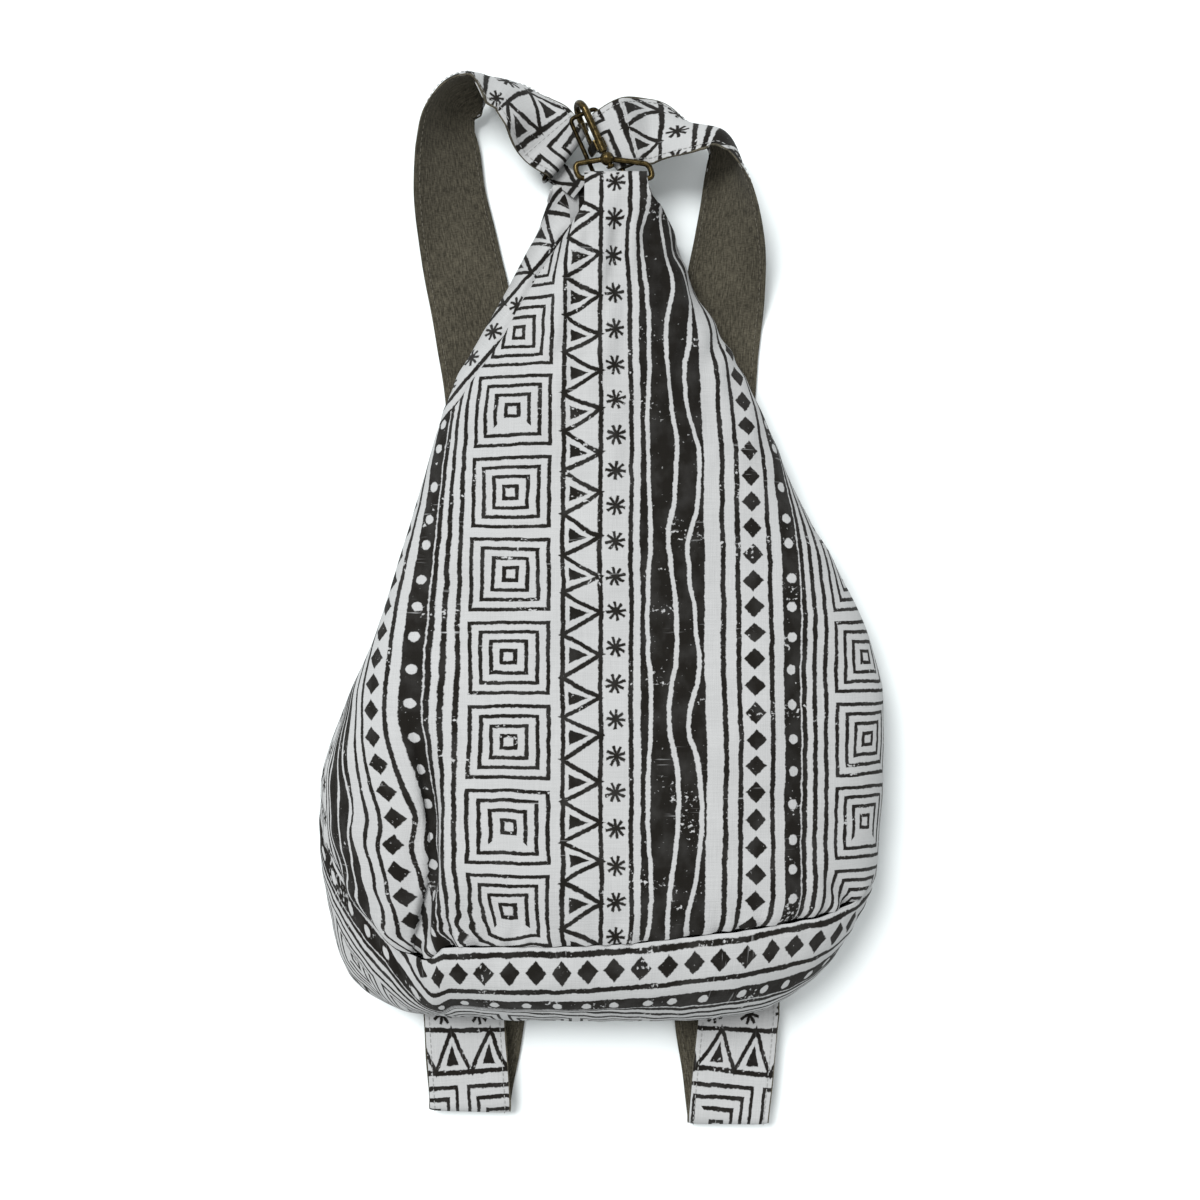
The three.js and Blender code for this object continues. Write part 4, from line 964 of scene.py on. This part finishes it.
def lining_place(length, across):
    return np.stack(np.broadcast_arrays(length, across), -1)


# Topstitching: rows of thread that lie end to end a little in from the band's edges
STITCH_INSET = 3.0
TAIL_SEAM = 12
STITCH_PITCH = 0.0031
STITCH_LENGTH = 0.0023
STITCH_THICKNESS = 0.0005
THREADS = {1: ("pale_thread", (0.27, 0.275, 0.27)), -1: ("grey_thread", (0.1, 0.092, 0.07))}


def stitch_tree():
    tree = bpy.data.node_groups.new("stitch_rows", "GeometryNodeTree")
    tree.is_modifier = True
    for name, way, kind in (
        ("Rows", "INPUT", "Geometry"), ("Pitch", "INPUT", "Float"), ("Length", "INPUT", "Float"),
        ("Thickness", "INPUT", "Float"), ("Thread", "INPUT", "Material"), ("Stitches", "OUTPUT", "Geometry"),
    ):
        tree.interface.new_socket(name, in_out=way, socket_type="NodeSocket" + kind)
    new = tree.nodes.new
    given = new("NodeGroupInput").outputs
    rows = feed(new("GeometryNodeMeshToCurve"), {"Mesh": given["Rows"]})
    stops = new("GeometryNodeResampleCurve")
    stops.mode = "LENGTH"
    feed(stops, {"Curve": rows["Curve"], "Length": given["Pitch"]})
    bead = feed(new("GeometryNodeMeshUVSphere"), {"Segments": 6, "Rings": 4, "Radius": 0.5})
    thick = given["Thickness"]
    shape = feed(new("ShaderNodeCombineXYZ"), {"X": thick, "Y": thick, "Z": given["Length"]})
    heading = new("FunctionNodeAlignRotationToVector")
    heading.axis = "Z"
    feed(heading, {"Vector": new("GeometryNodeInputTangent").outputs["Tangent"]})
    laid = feed(new("GeometryNodeInstanceOnPoints"), {
        "Points": stops.outputs["Curve"], "Instance": bead["Mesh"],
        "Rotation": heading.outputs["Rotation"], "Scale": shape["Vector"],
    })
    real = feed(new("GeometryNodeRealizeInstances"), {"Geometry": laid["Instances"]})
    dyed = feed(new("GeometryNodeSetMaterial"), {"Geometry": real["Geometry"], "Material": given["Thread"]})
    feed(new("NodeGroupOutput"), {"Stitches": dyed["Geometry"]})
    return tree


stitching = stitch_tree()


def object_noise(tree, scale, detail):
    # Noise from 0 to 1 through the body of the piece, its scale in spots to the metre
    place = tree.nodes.new("ShaderNodeTexCoord").outputs["Object"]
    node = tree.nodes.new("ShaderNodeTexNoise")
    return Field(feed(node, {"Scale": scale, "Detail": detail, "Vector": place})[0])


def thread_material(name, colour):
    # Twisted thread: fine dark turns round the strand
    material, shader = new_surface(name, 0.9)
    dark, pale = ([*(share * value for value in colour), 1] for share in (0.6, 1.4))
    fuzz = object_noise(material.node_tree, 2400, 2)
    feed(shader, {"Base Color": two_tone(dark, pale, fuzz)})
    return material


threads = {side_sign: thread_material(*made) for side_sign, made in THREADS.items()}


def evaluated_mesh(made):
    return bpy.data.meshes.new_from_object(made.evaluated_get(bpy.context.evaluated_depsgraph_get()))


def strap_stitches(name, frames, side_sign):
    # A row along each edge of the band on one of its sides, and on the print one across the turned end
    points, edges = [], []
    half = (frames[3] / 2)[:, None]
    inset = 1 - STITCH_INSET / half
    height = side_sign * (STRAP_MID + 0.05)
    rows = [strap_points(frames, edge * inset, half, height)[:, 0] for edge in (-1, 1)]
    if side_sign > 0:
        length = strap_lengths(frames[0])
        at = int(np.argmin(np.abs(length - length[-FOLD_STEPS - 1] + TAIL_SEAM)))
        across = np.linspace(-1, 1, 13)[None, :] * inset[at]
        one_frame = [column[at:at + 1] for column in frames]
        rows.append(strap_points(one_frame, across, half[at:at + 1], height)[0])
    for row in rows:
        first = len(points)
        points += ((row + PLAN_SHIFT) * MM).tolist()
        edges += [(first + k, first + k + 1) for k in range(len(row) - 1)]
    mesh = bpy.data.meshes.new(name)
    mesh.from_pydata(points, edges, [])
    thread = link_object(name, mesh)
    sewn = thread.modifiers.new("stitches", "NODES")
    sewn.node_group = stitching
    entries = [item for item in stitching.interface.items_tree if item.in_out == "INPUT"]
    sockets = {item.name: item.identifier for item in entries}
    sewn[sockets["Pitch"]] = STITCH_PITCH
    sewn[sockets["Length"]] = STITCH_LENGTH
    sewn[sockets["Thickness"]] = STITCH_THICKNESS
    sewn[sockets["Thread"]] = threads[side_sign]
    made = evaluated_mesh(thread)
    thread.modifiers.remove(sewn)
    thread.data = made
    made.shade_smooth()
    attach(thread, "bag")
    "printed_cotton" if side_sign > 0 else "chambray_cotton"
    return thread


for side, frames, end_q, start_v, cut_length in (
    ("left", left_strap_frames, 17, 255.4, 0.745), ("right", right_strap_frames, 23, 236.8, 0.715),
):
    printed = strap_print(strap_lengths(frames[0])[-1], end_q, start_v)
    outside = strap_ply(f"{side}_strap_outside", frames, 1, printed, cotton)
    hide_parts(f"{side}_strap_face")
    lining = strap_ply(f"{side}_strap_lining", frames, -1, lining_place, lining_cloth)
    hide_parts(f"{side}_strap_backing")
    for ply, side_sign in ((outside, 1), (lining, -1)):
        rows = strap_stitches(f"{ply.name}_stitches", frames, side_sign)


# Ring tab
# A short loop of the printed cloth that holds the left ring's lower bar at the back panel's corner.
TAB_PLY = 1.2
TAB_WIDTH = 12
TAB_SLACK = 1.3
TAB_PLACE = 11
TAB_LENGTH = 19
TAB_PINCH = 9
TAB_STEPS = 16
TAB_COLUMNS = 8
TAB_PRINT_AT = 50
LEFT_RING_GAP = 7
LEFT_BAR_WAY = np.cross(UP, LEFT_RING_ALONG)
CAD_CLOTH = 1.6


def ring_tab_grid():
    centre = LEFT_RING_BAR - (LEFT_RING_GAP + RING_WIRE) * UP - TAB_PLACE * LEFT_BAR_WAY
    radius = RING_WIRE / 2 + TAB_SLACK + TAB_PLY / 2
    pinched = CAD_CLOTH / 2 + SEAM_GAP + TAB_PLY / 2
    level = BACK_TOP_Z + CAD_CLOTH / 2 - centre[2]
    path = [(TAB_LENGTH, level + pinched, UP), (TAB_PINCH, level + pinched, UP)]
    for turn in np.linspace(np.pi / 2, 1.5 * np.pi, TAB_STEPS):
        out = math.cos(turn) * LEFT_RING_ALONG + math.sin(turn) * UP
        path.append((radius * math.cos(turn), radius * math.sin(turn), out))
    path += [(TAB_PINCH, level - pinched, -UP), (TAB_LENGTH, level - pinched, -UP)]
    rows = []
    for along, height, out in path:
        middle = centre + along * LEFT_RING_ALONG + height * UP + TAB_PLY / 2 * out
        shares = np.linspace(1, -1, TAB_COLUMNS + 1)
        rows.append([middle + share * TAB_WIDTH / 2 * LEFT_BAR_WAY for share in shares])
    return np.array(rows)


tab_grid = ring_tab_grid()
tab_length = strap_lengths(tab_grid[:, TAB_COLUMNS // 2])[:, None]
tab_across = np.linspace(TAB_WIDTH / 2, -TAB_WIDTH / 2, TAB_COLUMNS + 1)
tab_place = np.stack(np.broadcast_arrays(tab_length + TAB_PRINT_AT - PRINT_START, tab_across), -1)
ring_tab = cloth_piece("ring_tab_cloth", tab_grid, tab_place, TAB_PLY, cotton)
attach(ring_tab, "bag")
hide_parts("ring_tab")


# Brass fittings
# Cast brass with an antique finish: two wire rings on the straps' ends, and a swivel hook whose eye
# is caught in the front's hem. Dark in the hollows, rubbed bright along the edges.
RIGHT_RING_GAP = 13
RING_SIDE_PLAY = 2
RING_LENGTH = STRAP_END_WIDTH + RING_SIDE_PLAY + RING_WIRE
RING_CORNER = 3
RING_CORNER_STEPS = 10
RING_SIDES = 18
CAST_VOXEL = 0.00028
GATE_VOXEL = 0.00015
BRASS_DARK = (0.011, 0.008, 0.0035, 1)
BRASS_RUBBED = (0.17, 0.125, 0.05, 1)


def antique_brass():
    material, shader = new_surface("antique_brass", 0.3)
    tree = material.node_tree
    cloud = object_noise(tree, 420, 4)
    edges = Field(tree.nodes.new("ShaderNodeNewGeometry").outputs["Pointiness"])
    rubbed = ((edges - 0.5) * 7 + (cloud - 0.5) * 1.2 + 0.2).held()
    toned = two_tone(BRASS_DARK, BRASS_RUBBED, rubbed)
    emboss(shader, cloud, 0.15, 0.0002)
    feed(shader, {"Base Color": toned, "Roughness": 0.3 - rubbed * 0.1, "Metallic": 1.0})
    return material


brass = antique_brass()


def rounded_loop(corners, radius, steps):
    points = []
    for k, corner in enumerate(corners):
        before, after = corners[k - 1], corners[(k + 1) % len(corners)]
        start, end = (corner + radius * unit(side - corner) for side in (before, after))
        for t in np.linspace(0, 1, steps):
            points.append((1 - t) ** 2 * start + 2 * t * (1 - t) * corner + t * t * end)
    return np.array(points)


def wire_ring(name, gap, bar, bar_way, far_way, ring):
    half = RING_LENGTH / 2
    far = gap + RING_WIRE
    places = ((-half, 0), (half, 0), (half, far), (-half, far))
    corners = [bar + x * bar_way + y * far_way for x, y in places]
    path = rounded_loop(corners, RING_CORNER, RING_CORNER_STEPS)
    normal = np.cross(bar_way, far_way)
    ahead = np.roll(path, -1, axis=0) - np.roll(path, 1, axis=0)
    ahead /= np.linalg.norm(ahead, axis=1, keepdims=True)
    out = np.cross(ahead, normal)
    turns = np.linspace(0, 2 * np.pi, RING_SIDES, endpoint=False)
    rim = np.cos(turns)[None, :, None] * out[:, None, :] + np.sin(turns)[None, :, None] * normal
    points = path[:, None, :] + RING_WIRE / 2 * rim
    count, sides = points.shape[:2]
    faces = []
    for j in range(count):
        for i in range(sides):
            k, m = (j + 1) % count, (i + 1) % sides
            faces.append((j * sides + i, j * sides + m, k * sides + m, k * sides + i))
    mesh = bpy.data.meshes.new(name)
    mesh.from_pydata(((points.reshape(-1, 3) + PLAN_SHIFT) * MM).tolist(), [], faces)
    mesh.materials.append(brass)
    mesh.shade_smooth()
    made = link_object(name, mesh)
    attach(made, ring)
    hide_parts(ring)


wire_ring("left_strap_ring", LEFT_RING_GAP, LEFT_RING_BAR, LEFT_BAR_WAY, -UP, "left_ring")
wire_ring("right_strap_ring", RIGHT_RING_GAP, RIGHT_RING_BAR, HOOK_AHEAD, -HOOK_RIGHT, "right_ring")


def cast_copy(name, node, body, voxel, passes):
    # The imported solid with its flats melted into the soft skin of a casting; voxel in metres
    rough = link_object(name + "_rough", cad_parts[node].data.copy())
    weld = rough.modifiers.new("weld", "WELD")
    weld.merge_threshold = 1e-6
    skin = rough.modifiers.new("skin", "REMESH")
    skin.mode = "VOXEL"
    skin.voxel_size = voxel
    melt = rough.modifiers.new("melt", "SMOOTH")
    melt.iterations = passes
    melt.factor = 0.5
    made_mesh = evaluated_mesh(rough)
    bpy.data.objects.remove(rough)
    made_mesh.name = name
    made_mesh.materials.clear()
    made_mesh.materials.append(brass)
    made_mesh.shade_smooth()
    made = link_object(name, made_mesh)
    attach(made, body)
    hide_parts(node)


cast_copy("swivel_eye", "hook_eye", "eye", CAST_VOXEL, 6)
cast_copy("hook_casting", "hook_body", "hook", CAST_VOXEL, 6)
cast_copy("hook_gate_leaf", "hook_gate", "gate", GATE_VOXEL, 4)
for small in ("gate_pin", "gate_spring"):
    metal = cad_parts[small].data.materials
    metal.clear()
    metal.append(brass)
